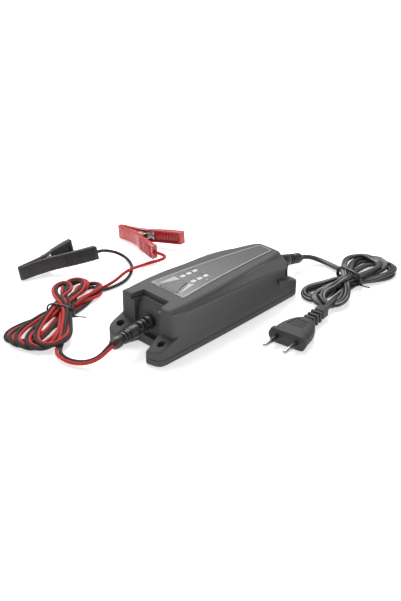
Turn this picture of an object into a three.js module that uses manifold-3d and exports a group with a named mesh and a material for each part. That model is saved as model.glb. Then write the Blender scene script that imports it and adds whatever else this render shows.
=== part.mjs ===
// Car battery charger with mains lead, two-pole plug, twin output lead and two spring clamps.
// Millimetres, +Z up.  +X runs from the output lead end to the mains lead end.
import * as THREE from 'three';
import { mergeVertices } from 'three/addons/utils/BufferGeometryUtils.js';
import Module from 'manifold-3d';

const wasm = await Module();
wasm.setup();

// ---- driving dimensions ----
const HALF_LENGTH = 88;          // ear tip to origin
const SIDE_END = 31.4;           // half width at the corners
const SIDE_BOW = 0.9;            // extra half width at mid length
const BASE_TOP = 6.0;            // top of base tray rim
const HOUSING_BOTTOM = 6.5;      // bottom of upper housing
const WALL = 2.2;
const RING_STEP = 0.03;          // least rise from one point of a section to the next
const FRONT_FACE = -70.5;        // front rim of the upper housing
const COLUMN_FACE = -69;         // front faces of the two front columns
const REAR_FACE = 83;
const FRONT_CORNER_R = 6;
const REAR_CORNER_R = 20;
const EAR_INNER = 17.2;          // half gap between the ears of one end
const NOTCH_FRONT = -68;
const NOTCH_REAR = 79;
const HOLE_X = 76.5;
const HOLE_Y = 23.8;
const HOLE_R = 3.3;
const EAR_TIP_Z = 12;
const EAR_SLOPE = 0.35;
const RECESS_HALF = 14.2;
const RECESS_BACK = -64.8;
const RECESS_TOP_BACK = -58;
const LABEL_FRONT = -47;
const LABEL_REAR = 77;
const LABEL_FRONT_HALF = 19.5;
const LABEL_REAR_HALF = 8.2;
const LABEL_THICK = 0.6;
const RELIEF_LENGTH = 42;
const RELIEF_Z = 23.4;
const RELIEF_DROP = 6.5;         // degrees below level
const RELIEF_REAR_Z = 20.5;
const RELIEF_REAR_DROP = 14;
const PIN_R = 2.0;
const PIN_LENGTH = 19;
const PIN_PITCH = 18.6;
const PLUG_FACE = [9.5, -81, 7.1];
const PLUG_HEADING = 8;          // degrees
const CLAMP_LENGTH = 69;         // half with the wire
const CLAMP_FREE_LENGTH = 65;    // moving half
const CLAMP_HEIGHT = 12.6;
const PIVOT_X = 29;
const WIRE_D = 3;                // one core of the output lead
const MAINS_W = 5.8;
const MAINS_T = 3.6;
const LED_X = [-19.8, -12.6, -5.4];
const LED_Y = [8.4, -4.2];
const LED_HALF_X = 2.5;
const LED_HALF_Y = 2.0;
const BOSSES = [[-56, 26.2], [-56, -26.2], [56, 25.6], [56, -25.6]];
const CORNERS = [[-1, 1], [-1, -1], [1, 1], [1, -1]];
const BOARD_BOTTOM = 8.8;
const BOARD_TOP = 10.4;
const PARTS_FLOOR = 10.8;        // underside of the parts standing on the board
const BUTTON_X = -36;
const SWITCH_TOP = 35.8;

// ---- colours ----
const BODY_BLACK = 0x4a4848;
const SOFT_BLACK = 0x2e2d2d;
const LABEL_GREY = 0x5b5a5c;
const LENS_GREY = 0xb9bbc0;
const RED = 0xb83a3a;
const NICKEL = 0xc9c5ba;
const STEEL = 0x9a9a98;
const COPPER = 0xb5723c;
const BOARD = 0x1f6b42;
const YELLOW = 0xd8b23c;
const ALUMINIUM = 0xb4b6b8;

const group = new THREE.Group();
group.name = 'battery_charger';

// ---- geometry helpers ----
function lerpTable(xs, ys, x) {
  if (x <= xs[0]) return ys[0];
  for (let i = 1; i < xs.length; i += 1) {
    if (x <= xs[i]) {
      const t = (x - xs[i - 1]) / (xs[i] - xs[i - 1]);
      const s = t * t * (3 - 2 * t);
      return ys[i - 1] + (ys[i] - ys[i - 1]) * (0.55 * t + 0.45 * s);
    }
  }
  return ys[ys.length - 1];
}

function solid(geometry) {
  const bare = geometry.clone();
  bare.deleteAttribute('normal');
  bare.deleteAttribute('uv');
  const merged = mergeVertices(bare, 1e-4);
  const vertProperties = new Float32Array(merged.attributes.position.array);
  const triVerts = new Uint32Array(merged.index.array);
  return new wasm.Manifold(new wasm.Mesh({ numProp: 3, vertProperties, triVerts }));
}

function geometryOf(manifold) {
  const mesh = manifold.getMesh();
  const geometry = new THREE.BufferGeometry();
  const positions = new Float32Array(mesh.numVert * 3);
  for (let i = 0; i < mesh.numVert; i += 1) {
    positions[3 * i] = mesh.vertProperties[i * mesh.numProp];
    positions[3 * i + 1] = mesh.vertProperties[i * mesh.numProp + 1];
    positions[3 * i + 2] = mesh.vertProperties[i * mesh.numProp + 2];
  }
  geometry.setAttribute('position', new THREE.BufferAttribute(positions, 3));
  geometry.setIndex(new THREE.BufferAttribute(new Uint32Array(mesh.triVerts), 1));
  return geometry;
}

function add(name, geometry, color, metalness = 0, roughness = 0.55) {
  const finished = geometry.index ? geometry.toNonIndexed() : geometry.clone();
  finished.computeVertexNormals();
  const material = new THREE.MeshStandardMaterial({ color, metalness, roughness });
  const mesh = new THREE.Mesh(finished, material);
  mesh.name = name;
  group.add(mesh);
  return mesh;
}

function box(x0, x1, y0, y1, z0, z1) {
  const geometry = new THREE.BoxGeometry(x1 - x0, y1 - y0, z1 - z0);
  geometry.translate((x0 + x1) / 2, (y0 + y1) / 2, (z0 + z1) / 2);
  return geometry;
}

function cylinder(r, z0, z1, x, y, sides = 24) {
  const geometry = new THREE.CylinderGeometry(r, r, z1 - z0, sides);
  geometry.rotateX(Math.PI / 2);
  geometry.translate(x, y, (z0 + z1) / 2);
  return geometry;
}

function shapeOf(points) {
  return new THREE.Shape(points.map(([x, y]) => new THREE.Vector2(x, y)));
}

function prism(points, z0, z1) {
  const geometry = new THREE.ExtrudeGeometry(shapeOf(points), { depth: z1 - z0, bevelEnabled: false });
  geometry.translate(0, 0, z0);
  return geometry;
}

function bevelPrism(points, z0, z1, bevel, segments = 2) {
  const options = {
    depth: z1 - z0 - 2 * bevel,
    bevelEnabled: true,
    bevelThickness: bevel,
    bevelSize: bevel,
    bevelOffset: -bevel,
    bevelSegments: segments,
    curveSegments: 8,
  };
  const geometry = new THREE.ExtrudeGeometry(shapeOf(points), options);
  geometry.translate(0, 0, z0 + bevel);
  return geometry;
}

// polygon drawn in X and Z, pushed along Y
function prismY(points, y0, y1) {
  const geometry = prism(points, 0, y1 - y0);
  geometry.rotateX(Math.PI / 2);
  geometry.translate(0, y1, 0);
  return geometry;
}

// rings: equal-length lists of Vector3; closed body with both ends capped
function loft(rings) {
  const count = rings[0].length;
  const positions = [];
  const index = [];
  rings.forEach((ring) => ring.forEach((p) => positions.push(p.x, p.y, p.z)));
  for (let i = 0; i < rings.length - 1; i += 1) {
    for (let j = 0; j < count; j += 1) {
      const k = (j + 1) % count;
      const a = i * count + j;
      const b = i * count + k;
      const c = (i + 1) * count + k;
      const d = (i + 1) * count + j;
      index.push(a, b, c, a, c, d);
    }
  }
  const capFace = (ring, base, flip) => {
    const centre = new THREE.Vector3();
    ring.forEach((p) => centre.add(p));
    centre.multiplyScalar(1 / count);
    positions.push(centre.x, centre.y, centre.z);
    const c = positions.length / 3 - 1;
    for (let j = 0; j < count; j += 1) {
      const k = (j + 1) % count;
      if (flip) index.push(base + k, base + j, c);
      else index.push(base + j, base + k, c);
    }
  };
  capFace(rings[0], 0, true);
  capFace(rings[rings.length - 1], (rings.length - 1) * count, false);
  const geometry = new THREE.BufferGeometry();
  geometry.setAttribute('position', new THREE.Float32BufferAttribute(positions, 3));
  geometry.setIndex(index);
  return outward(geometry);
}

// stack of plan outlines at given heights, capped by triangulation
function stack(given, heights) {
  const turn = THREE.ShapeUtils.area(given[0].map(([x, y]) => new THREE.Vector2(x, y))) < 0;
  const outlines = turn ? given.map((ring) => ring.slice().reverse()) : given;
  const count = outlines[0].length;
  const positions = [];
  const index = [];
  outlines.forEach((ring, i) => ring.forEach(([x, y]) => {
    const z = typeof heights[i] === 'function' ? heights[i](x, y) : heights[i];
    positions.push(x, y, z);
  }));
  for (let i = 0; i < outlines.length - 1; i += 1) {
    for (let j = 0; j < count; j += 1) {
      const k = (j + 1) % count;
      const a = i * count + j;
      const b = i * count + k;
      const c = (i + 1) * count + k;
      const d = (i + 1) * count + j;
      index.push(a, b, c, a, c, d);
    }
  }
  const flat = outlines[0].map(([x, y]) => new THREE.Vector2(x, y));
  const faces = THREE.ShapeUtils.triangulateShape(flat, []);
  const last = (outlines.length - 1) * count;
  faces.forEach(([a, b, c]) => {
    index.push(a, c, b);
    index.push(last + a, last + b, last + c);
  });
  const geometry = new THREE.BufferGeometry();
  geometry.setAttribute('position', new THREE.Float32BufferAttribute(positions, 3));
  geometry.setIndex(index);
  return outward(geometry);
}

function signedVolume(geometry) {
  const p = geometry.attributes.position;
  const idx = geometry.index;
  const a = new THREE.Vector3();
  const b = new THREE.Vector3();
  const c = new THREE.Vector3();
  let volume = 0;
  for (let i = 0; i < idx.count; i += 3) {
    a.fromBufferAttribute(p, idx.getX(i));
    b.fromBufferAttribute(p, idx.getX(i + 1));
    c.fromBufferAttribute(p, idx.getX(i + 2));
    volume += a.dot(b.cross(c)) / 6;
  }
  return volume;
}

function outward(geometry) {
  if (signedVolume(geometry) < 0) {
    const array = geometry.index.array;
    for (let i = 0; i < array.length; i += 3) {
      const swap = array[i + 1];
      array[i + 1] = array[i + 2];
      array[i + 2] = swap;
    }
  }
  return geometry;
}

function offsetOutline(points, distance) {
  const n = points.length;
  return points.map(([x, y], i) => {
    const [px, py] = points[(i + n - 1) % n];
    const [qx, qy] = points[(i + 1) % n];
    const a = new THREE.Vector2(x - px, y - py).normalize();
    const b = new THREE.Vector2(qx - x, qy - y).normalize();
    const na = new THREE.Vector2(a.y, -a.x);
    const nb = new THREE.Vector2(b.y, -b.x);
    const m = na.clone().add(nb).normalize();
    const k = distance / Math.max(0.5, m.dot(na));
    return [x + m.x * k, y + m.y * k];
  });
}

// tube of a small cross-section outline along a smooth route
function sweep(route, section, steps) {
  const curve = new THREE.CatmullRomCurve3(route.map((p) => new THREE.Vector3(...p)), false, 'centripetal');
  return new THREE.ExtrudeGeometry(shapeOf(section), { steps, bevelEnabled: false, extrudePath: curve });
}

function roundSection(r, sides) {
  const points = [];
  for (let i = 0; i < sides; i += 1) {
    const a = (2 * Math.PI * (i + 0.5)) / sides;
    points.push([r * Math.cos(a), r * Math.sin(a)]);
  }
  return points;
}

// stadium section, thin across the first axis
function flatSection(thick, wide) {
  const r = thick / 2;
  const s = wide / 2 - r;
  const points = [];
  for (let i = 0; i <= 4; i += 1) {
    const a = (Math.PI * i) / 4;
    points.push([r * Math.cos(a), s + r * Math.sin(a)]);
  }
  for (let i = 0; i <= 4; i += 1) {
    const a = Math.PI + (Math.PI * i) / 4;
    points.push([r * Math.cos(a), -s + r * Math.sin(a)]);
  }
  return points;
}

// stadium section, wide across the first axis
function edgeSection(thick, wide) {
  return flatSection(thick, wide).map(([x, y]) => [y, -x]);
}

function lathe(profile, sides) {
  const points = profile.map(([r, s]) => new THREE.Vector2(r, s));
  return new THREE.LatheGeometry(points, sides);
}

function place(geometry, x, y, z, heading = 0, pitch = 0, roll = 0) {
  const rad = THREE.MathUtils.degToRad;
  const matrix = new THREE.Matrix4().makeRotationZ(rad(heading));
  matrix.multiply(new THREE.Matrix4().makeRotationY(rad(pitch)));
  matrix.multiply(new THREE.Matrix4().makeRotationX(rad(roll)));
  matrix.setPosition(x, y, z);
  const out = geometry.clone();
  out.applyMatrix4(matrix);
  return out;
}

// ---- body outline ----
function sideHalf(x) {
  return SIDE_END + SIDE_BOW * (1 - (x / HALF_LENGTH) ** 2);
}

function planOutline() {
  const half = [];
  half.push([HALF_LENGTH, EAR_INNER]);
  half.push([HALF_LENGTH - 2.0, 26.0]);
  half.push([HALF_LENGTH - 3.6, 29.0]);
  half.push([HALF_LENGTH - 6.4, 30.9]);
  half.push([HALF_LENGTH - 10.5, sideHalf(77.5)]);
  for (let x = 60; x > 0; x -= 20) half.push([x, sideHalf(x)]);
  return half;
}

function basePlan() {
  const q = planOutline();
  const rearRight = [[NOTCH_REAR, 12.5], [NOTCH_REAR + 3, EAR_INNER - 2], ...q];
  const frontRight = [...q].reverse().map(([x, y]) => [-x, y]);
  frontRight.push([-80, 16.2], [NOTCH_FRONT, 12.8]);
  const upper = [...rearRight, [0, sideHalf(0)], ...frontRight];
  const lower = upper.map(([x, y]) => [x, -y]).reverse();
  return [...upper, ...lower];
}

// ---- upper housing stations ----
function topZ(x, inset) {
  const xs = [-71, -40, -20, 0, 20, 40, 60, 76, 83];
  const zs = [43.9, 44.0, 43.7, 43.0, 42.1, 40.9, 39.4, 38.0, 37.2];
  let z = lerpTable(xs, zs, x) - inset;
  const rearR = 4.5;
  const dRear = REAR_FACE - inset - x;
  if (dRear < rearR) z -= rearR - Math.sqrt(Math.max(0, rearR ** 2 - (rearR - dRear) ** 2));
  const frontR = 1.6;
  const dFront = x - (FRONT_FACE + inset);
  if (dFront < frontR) z -= frontR - Math.sqrt(Math.max(0, frontR ** 2 - (frontR - dFront) ** 2));
  return z;
}

function planLimit(x, inset) {
  let y = sideHalf(x) - inset;
  const dFront = x - (FRONT_FACE + inset);
  const rf = FRONT_CORNER_R;
  if (dFront < rf) y -= rf - Math.sqrt(Math.max(0, rf ** 2 - (rf - dFront) ** 2));
  const dRear = REAR_FACE - inset - x;
  const rr = REAR_CORNER_R;
  if (dRear < rr) y -= rr - Math.sqrt(Math.max(0, rr ** 2 - (rr - dRear) ** 2));
  return y;
}

function sectionRing(x, inset, bottom) {
  const limit = planLimit(x, inset);
  const zt = topZ(x, inset);
  const lipZ = lerpTable(
    [-70, -50, -20, 10, 38, 58, 77, 83],
    [39.2, 38.6, 37.4, 36.2, 34.4, 31.4, 27.6, 26.4],
    x,
  );
  const crown = lerpTable(
    [-70, -56, -40, -20, -4, 17, 34, 50, 66, 76, 83],
    [27.2, 28.4, 28.6, 27.8, 26.4, 24.2, 22.2, 20.2, 17.4, 15.0, 11.8],
    x,
  ) - inset;
  const lipY = lerpTable([-70, 0, 40, 60, 72, 83], [31.2, 31.2, 30.6, 29.4, 27.6, 24], x) - inset;
  const neckY = lipY - lerpTable([-70, -50, 0, 40, 80], [0.3, 1.0, 2.2, 2.8, 2.4], x);
  const wallY = lerpTable([-70, 0, 83], [31.1, 30.8, 29.6], x) - inset;
  const shoulderZ = lipZ + lerpTable([-70, -20, 30, 60, 83], [1.6, 2.4, 3.6, 5.0, 5.6], x);
  const crease = Math.min(lipY - 0.8, crown + lerpTable([-70, 0, 60, 83], [0.9, 1.9, 2.4, 2.2], x));
  const half = [
    [limit, bottom],
    [limit - 0.2, 11],
    [wallY, 18],
    [neckY, lipZ - 7.5],
    [neckY, lipZ - 3.0],
    [lipY - 0.6, lipZ - 0.8],
    [lipY, lipZ + 0.4],
    [lipY - 0.5, lipZ + 1.3],
    [crease + 0.3, shoulderZ],
    [crown + 0.4, shoulderZ + 1.2],
    [crown, zt - 2.7],
    [crown - 0.7, zt - 1.4],
    [crown - 2.2, zt - 0.5],
    [crown - 4.6, zt - 0.12],
    [crown * 0.4, zt],
  ];
  let below = bottom - RING_STEP;
  const right = half.map(([y, z], i) => {
    const ceiling = zt - RING_STEP * (half.length - 1 - i);
    below = Math.max(below + RING_STEP, Math.min(z, ceiling));
    return [Math.min(y, limit), below];
  });
  const ring = [];
  right.forEach(([y, z]) => ring.push(new THREE.Vector3(x, y, z)));
  right.slice().reverse().forEach(([y, z]) => ring.push(new THREE.Vector3(x, -y, z)));
  return ring;
}

function housingLoft(inset, bottom, xs) {
  return loft(xs.map((x) => sectionRing(x, inset, bottom)));
}

function outerStations() {
  const xs = [-70.5, -70.1, -69.2, -67.5, -64.5, -60, LABEL_FRONT - 0.3, -40, -30, -20, -8, 4, 17, 30, 42, 54, 63];
  xs.push(68, 72, 75, 77.5, 79.5, 81, 82, 82.7, 83);
  return xs;
}

function innerStations() {
  return [-67.8, -67, -65, -60, -45, -30, -10, 10, 30, 48, 62, 70, 75, 78.5, 80.2, 80.8];
}

function earPlan(sign) {
  const q = planOutline().slice(0, 5);
  const inner = sign < 0 ? [[59.3, 12.8], [68.2, 12.8], [80, 16.2]] : [[59.3, 15.0], [79, 15.2], [82, 15.2]];
  const outline = [...inner, ...q, [66, sideHalf(66)], [59.3, sideHalf(59.3) - 1.2]];
  return outline.map(([x, y]) => [sign * x, y]);
}

function earTop(x, y) {
  const reach = HALF_LENGTH - Math.abs(x);
  return EAR_TIP_Z + EAR_SLOPE * reach + 0.08 * (Math.abs(y) - EAR_INNER);
}

function earSolid(signX, signY) {
  const plan = earPlan(signX).map(([x, y]) => [x, signY * y]);
  const drafted = plan.map(([x, y]) => {
    const centre = [signX * 72, signY * 24];
    return [x + (centre[0] - x) * 0.02, y + (centre[1] - y) * 0.03];
  });
  return solid(stack([plan, drafted], [HOUSING_BOTTOM, earTop]));
}

function labelHalf(x) {
  const t = (x - LABEL_FRONT) / (LABEL_REAR - LABEL_FRONT);
  let y = LABEL_FRONT_HALF + (LABEL_REAR_HALF - LABEL_FRONT_HALF) * t;
  const rr = 5;
  const d = LABEL_REAR - x;
  if (d < rr) y -= rr - Math.sqrt(Math.max(0, rr ** 2 - (rr - d) ** 2));
  const rf = 2;
  const e = x - LABEL_FRONT;
  if (e < rf) y -= rf - Math.sqrt(Math.max(0, rf ** 2 - (rf - e) ** 2));
  return y;
}

function labelLoft(grow, down, up) {
  const xs = [LABEL_FRONT, -46.4, -45, -40, -30, -20, -8, 4, 17, 30, 42, 54, 63, 68];
  xs.push(72, 74.5, 76.3, LABEL_REAR);
  const rings = xs.map((x, i) => {
    let px = x;
    if (i === 0) px = x - grow;
    if (i === xs.length - 1) px = x + grow;
    const y = labelHalf(x) + grow;
    const z = topZ(x, 0);
    return [
      new THREE.Vector3(px, y, z - down),
      new THREE.Vector3(px, y, z + up),
      new THREE.Vector3(px, -y, z + up),
      new THREE.Vector3(px, -y, z - down),
    ];
  });
  return loft(rings);
}

function buttonOutline(grow) {
  const points = [
    [-45.2, -9.6], [-46.0, -5.0], [-46.2, 0], [-46.0, 5.0], [-45.2, 9.6],
    [-38, 6.6], [-32, 4.6], [-26.5, 3.6], [-26.5, -3.6], [-32, -4.6], [-38, -6.6],
  ];
  const ring = points.slice().reverse();
  return offsetOutline(ring, grow);
}

function ledBoxes(grow, z0, z1) {
  const list = [];
  LED_Y.forEach((y) => LED_X.forEach((x) => {
    const hx = LED_HALF_X + grow;
    const hy = LED_HALF_Y + grow;
    list.push(solid(box(x - hx, x + hx, y - hy, y + hy, z0, z1(x))));
  }));
  return list;
}

// mouth and back wall of the cable recess in the front end
function recessSolid(grow) {
  const profile = [
    [-90, 10 - grow], [RECESS_BACK + grow, 10 - grow], [RECESS_BACK + grow, 33],
    [-60.4 + grow, 40.4], [-60.4 + grow, 41.6], [RECESS_TOP_BACK + grow, 41.6],
    [RECESS_TOP_BACK + grow, 52], [-90, 52],
  ];
  const half = RECESS_HALF + grow;
  let cut = solid(prismY(profile, -half, half));
  const flare = [[-90, -21 - grow], [RECESS_TOP_BACK + grow, -14.8 - grow],
    [RECESS_TOP_BACK + grow, 14.8 + grow], [-90, 21 + grow]];
  cut = cut.add(solid(prism(flare, 39.4 - grow, 52)));
  return cut;
}

function buildHousing() {
  let body = solid(housingLoft(0, HOUSING_BOTTOM, outerStations()));
  const columnCut = solid(box(-90, COLUMN_FACE, -40, 40, 0, 38.6));
  body = body.subtract(columnCut);
  CORNERS.forEach(([sx, sy]) => {
    body = body.add(earSolid(sx, sy));
  });
  let cavity = solid(housingLoft(WALL, 0, innerStations()));
  cavity = cavity.subtract(recessSolid(WALL));
  body = body.subtract(cavity);
  body = body.subtract(recessSolid(0));
  const bossLimit = solid(housingLoft(0.4, HOUSING_BOTTOM, outerStations().slice(3, 22)));
  BOSSES.forEach(([x, y]) => {
    body = body.add(solid(cylinder(3.4, HOUSING_BOTTOM, 20, x, y)).intersect(bossLimit));
    body = body.subtract(solid(cylinder(1.5, 0, 16, x, y, 16)));
  });
  CORNERS.forEach(([sx, sy]) => {
    body = body.subtract(solid(cylinder(HOLE_R, 0, 30, sx * HOLE_X, sy * HOLE_Y)));
  });
  body = body.subtract(solid(labelLoft(0.3, 0.6, 6)));
  body = body.subtract(solid(prism(buttonOutline(0.35), 36, 50)));
  ledBoxes(0.3, 36, () => 50).forEach((b) => { body = body.subtract(b); });
  // cable passages at both ends
  body = body.subtract(reliefBore(-1));
  body = body.subtract(reliefBore(1));
  return body;
}

// wall point and droop of the strain relief at one end
function reliefAnchor(sign) {
  if (sign < 0) return [RECESS_BACK, RELIEF_Z, RELIEF_DROP];
  return [REAR_FACE, RELIEF_REAR_Z, RELIEF_REAR_DROP];
}

function reliefBore(sign) {
  const geometry = new THREE.CylinderGeometry(5.1, 5.1, 14, 22);
  geometry.rotateY(0.1);
  geometry.rotateZ(Math.PI / 2);
  const [x, z, drop] = reliefAnchor(sign);
  return solid(place(geometry, x, 0, z, 0, sign * drop));
}

function buildBase() {
  const plan = basePlan();
  const outlines = [offsetOutline(plan, -1.5), offsetOutline(plan, -0.7), plan];
  let tray = solid(stack(outlines, [0, 0.9, BASE_TOP]));
  const pocket = solid(housingLoft(WALL + 2.2, 2.4, innerStations().slice(2, 14)));
  const keep = solid(box(-64, 76, -40, 40, 2.4, 9));
  tray = tray.subtract(pocket.intersect(keep));
  const trimmed = offsetOutline(plan, -0.8);
  const bossLimit = solid(stack([trimmed, trimmed], [1.5, BASE_TOP]));
  BOSSES.forEach(([x, y]) => {
    tray = tray.add(solid(cylinder(4.4, 1.5, BASE_TOP, x, y)).intersect(bossLimit));
    tray = tray.subtract(solid(cylinder(1.7, -1, 12, x, y, 16)));
    tray = tray.subtract(solid(cylinder(3.1, -1, 2.6, x, y, 20)));
  });
  CORNERS.forEach(([sx, sy]) => {
    tray = tray.subtract(solid(cylinder(HOLE_R, -1, 30, sx * HOLE_X, sy * HOLE_Y)));
  });
  tray = tray.subtract(gasketSolid(0.3, 4.6, 9));
  return tray;
}

function gasketSolid(grow, z0, z1) {
  const outer = gasketRing(1.0 - grow);
  const inner = gasketRing(2.2 + grow);
  const core = solid(stack([inner, inner], [z0 - 1, z1 + 1]));
  return solid(stack([outer, outer], [z0, z1])).subtract(core);
}

function gasketRing(inset) {
  const points = [];
  const front = NOTCH_FRONT + 0.3 + inset;
  const rear = NOTCH_REAR - 0.3 - inset;
  const r = 6;
  const corner = (cx, cy, a0) => {
    for (let i = 0; i <= 4; i += 1) {
      const a = a0 + (Math.PI / 2) * (i / 4);
      points.push([cx + r * Math.cos(a), cy + r * Math.sin(a)]);
    }
  };
  const side = SIDE_END - inset - 0.2;
  corner(rear - r, side - r, 0);
  corner(front + r, side - r, Math.PI / 2);
  corner(front + r, -side + r, Math.PI);
  corner(rear - r, -side + r, 1.5 * Math.PI);
  return points;
}

// ---- strain reliefs ----
function reliefProfile() {
  const p = [[0, -7.4], [7.2, -7.4], [7.2, -4.8], [4.8, -4.8], [4.8, 2.0], [6.3, 2.2], [6.3, 5.8]];
  const rib = (s, r) => p.push([4.5, s], [4.5, s + 1.5], [r, s + 1.7], [r, s + 3.8]);
  rib(5.9, 6.1);
  rib(9.9, 5.9);
  p.push([4.4, 13.9], [4.4, 15.4], [5.7, 15.8], [5.4, 24.2]);
  const small = (s, r) => p.push([4.1, s], [4.1, s + 1.3], [r, s + 1.5], [r, s + 3.4]);
  small(24.4, 5.2);
  small(27.9, 5.1);
  p.push([3.9, 31.4], [3.9, 32.6], [4.3, 33.0], [5.0, 35.6], [5.0, 39.8]);
  p.push([4.2, RELIEF_LENGTH], [0, RELIEF_LENGTH]);
  return p;
}

function buildRelief(sign) {
  const geometry = lathe(reliefProfile(), 16);
  geometry.rotateZ(-Math.PI / 2);
  const [x, z, drop] = reliefAnchor(sign);
  return place(geometry, x, 0, z, sign < 0 ? 180 : 0, drop);
}

// point on the axis of a strain relief, measured from its tip
function reliefTip(sign, beyond) {
  const [x, z, drop] = reliefAnchor(sign);
  const a = THREE.MathUtils.degToRad(drop);
  const l = RELIEF_LENGTH + beyond;
  return [x + sign * l * Math.cos(a), 0, z - l * Math.sin(a)];
}

// ---- charger shell ----
add('top_housing', geometryOf(buildHousing()), BODY_BLACK);
add('base_tray', geometryOf(buildBase()), BODY_BLACK);
add('sealing_gasket', geometryOf(gasketSolid(0, 4.9, 6.2)), SOFT_BLACK);
BOSSES.forEach(([x, y], i) => {
  const screw = lathe([[0, 0.7], [2.5, 0.7], [2.6, 2.3], [1.3, 2.4], [1.3, 14.5], [0, 15]], 12);
  screw.rotateX(Math.PI / 2);
  add(`housing_screw_${i + 1}`, place(screw, x, y, 0), STEEL, 0.9, 0.35);
});

// ---- label, button, light guide ----
let label = solid(labelLoft(0, 0.35, LABEL_THICK - 0.35));
label = label.subtract(solid(prism(buttonOutline(0.35), 36, 50)));
ledBoxes(0.3, 36, () => 50).forEach((b) => { label = label.subtract(b); });
add('top_label', geometryOf(label), LABEL_GREY);

const buttonTop = topZ(BUTTON_X, 0) + 0.55;
let button = solid(bevelPrism(buttonOutline(0), 41.2, buttonTop, 0.4, 2));
button = button.add(solid(cylinder(2.2, SWITCH_TOP + 0.6, 41.4, BUTTON_X, 0, 16)));
add('mode_button', geometryOf(button), BODY_BLACK);

let guide = solid(box(-24, -1.5, -8, 12, 37.2, 38.8));
ledBoxes(0, 38, (x) => topZ(x, 0) + 0.2).forEach((b) => { guide = guide.add(b); });
add('light_guide', geometryOf(guide), LENS_GREY, 0, 0.25);

add('front_strain_relief', buildRelief(-1), SOFT_BLACK);
add('rear_strain_relief', buildRelief(1), SOFT_BLACK);

// ---- inside the housing ----
add('circuit_board', box(-50, 70, -21.6, 21.6, BOARD_BOTTOM, BOARD_TOP), BOARD);
add('control_board', box(-50, -1.2, -12, 14, 31.6, 33.0), BOARD);
add('tact_switch', box(BUTTON_X - 3, BUTTON_X + 3, -3, 3, 33.3, SWITCH_TOP), SOFT_BLACK);
add('transformer_core', geometryOf(
  solid(box(14, 40, -13, 13, PARTS_FLOOR, 30)).subtract(solid(box(18.5, 35.5, -20, 20, 14.5, 26.5))),
), 0x3b3b3d, 0.3, 0.7);
add('transformer_winding', box(19, 35, -15.5, 15.5, 14.9, 26.1), YELLOW);
add('mains_capacitor', cylinder(7, PARTS_FLOOR, 27, 55, 12, 24), SOFT_BLACK);
add('output_capacitor_1', cylinder(5, PARTS_FLOOR, 29, -38, 15, 20), SOFT_BLACK);
add('output_capacitor_2', cylinder(5, PARTS_FLOOR, 29, -24, 15, 20), SOFT_BLACK);
add('filter_choke', geometryOf(
  solid(cylinder(8, PARTS_FLOOR, 18.8, -6, 13, 28)).subtract(solid(cylinder(3.6, 5, 25, -6, 13, 20))),
), COPPER, 0.6, 0.4);
let sink = solid(box(-40, 8, -21.5, -18.5, PARTS_FLOOR, 29));
for (let x = -38; x <= 6; x += 11) {
  sink = sink.add(solid(box(x - 0.8, x + 0.8, -18.8, -14.5, 12, 28)));
}
add('heat_sink', geometryOf(sink), ALUMINIUM, 0.9, 0.4);
add('power_transistor', box(-35.8, -28.6, -18.1, -15.2, 14, 26), SOFT_BLACK);
add('rectifier_diode', box(-2.8, 3.6, -18.1, -15.2, 14, 26), SOFT_BLACK);
const fuse = lathe([[0, -9], [2.5, -9], [2.5, 9], [0, 9]], 16);
add('mains_fuse', place(fuse, 58, -12, 13.6), LENS_GREY, 0.3, 0.3);
add('filter_capacitor', box(44, 52, -20, -2, PARTS_FLOOR, 22), 0x2f5aa0);

// ---- plug ----
function onPlug(geometry) {
  return place(geometry, PLUG_FACE[0], PLUG_FACE[1], PLUG_FACE[2], PLUG_HEADING);
}

function buildPlugBody() {
  const flange = [[-17.7, -1.2], [-15.2, -6.2], [-12, -6.8], [12, -6.8], [15.2, -6.2], [17.7, -1.2],
    [17.7, 1.2], [15.2, 6.2], [12, 6.8], [-12, 6.8], [-15.2, 6.2], [-17.7, 1.2]];
  const plate = bevelPrism(flange, 0, 5, 0.5, 2);
  plate.rotateZ(Math.PI / 2);
  plate.rotateY(Math.PI / 2);
  const plan = [[2, -16.6], [14, -16.6], [22, -15], [28, -11.4], [32, -7.6], [34, -5.4],
    [34, 5.4], [32, 7.6], [28, 11.4], [22, 15], [14, 16.6], [2, 16.6]];
  const dome = bevelPrism(plan, -6.6, 6.6, 4.2, 3);
  let body = solid(plate).add(solid(dome));
  const grip = [[12, -8], [25, -6], [25, 6], [12, 8]];
  body = body.subtract(solid(prism(grip, 5.9, 9)));
  body = body.subtract(solid(prism(grip, -9, -5.9)));
  [-1, 1].forEach((s) => {
    const bore = new THREE.CylinderGeometry(PIN_R + 0.15, PIN_R + 0.15, 16, 16);
    bore.rotateZ(Math.PI / 2);
    bore.translate(0, (s * PIN_PITCH) / 2, 0);
    body = body.subtract(solid(bore));
  });
  return geometryOf(body);
}

function buildPlugBoot() {
  let boot = solid(box(34.3, 56, -2.6, 2.6, -2.4, 2.4));
  const fin = (x0, x1, w, h) => {
    const outline = [[x0, -w], [x1, -w], [x1, w], [x0, w]];
    boot = boot.add(solid(bevelPrism(outline, -h, h, 0.5, 1)));
  };
  fin(34.3, 37.5, 5.2, 5.2);
  fin(40.0, 43.0, 4.9, 4.9);
  fin(45.5, 48.5, 4.7, 4.7);
  fin(51.0, 60.0, 4.6, 4.4);
  return geometryOf(boot);
}

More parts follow.
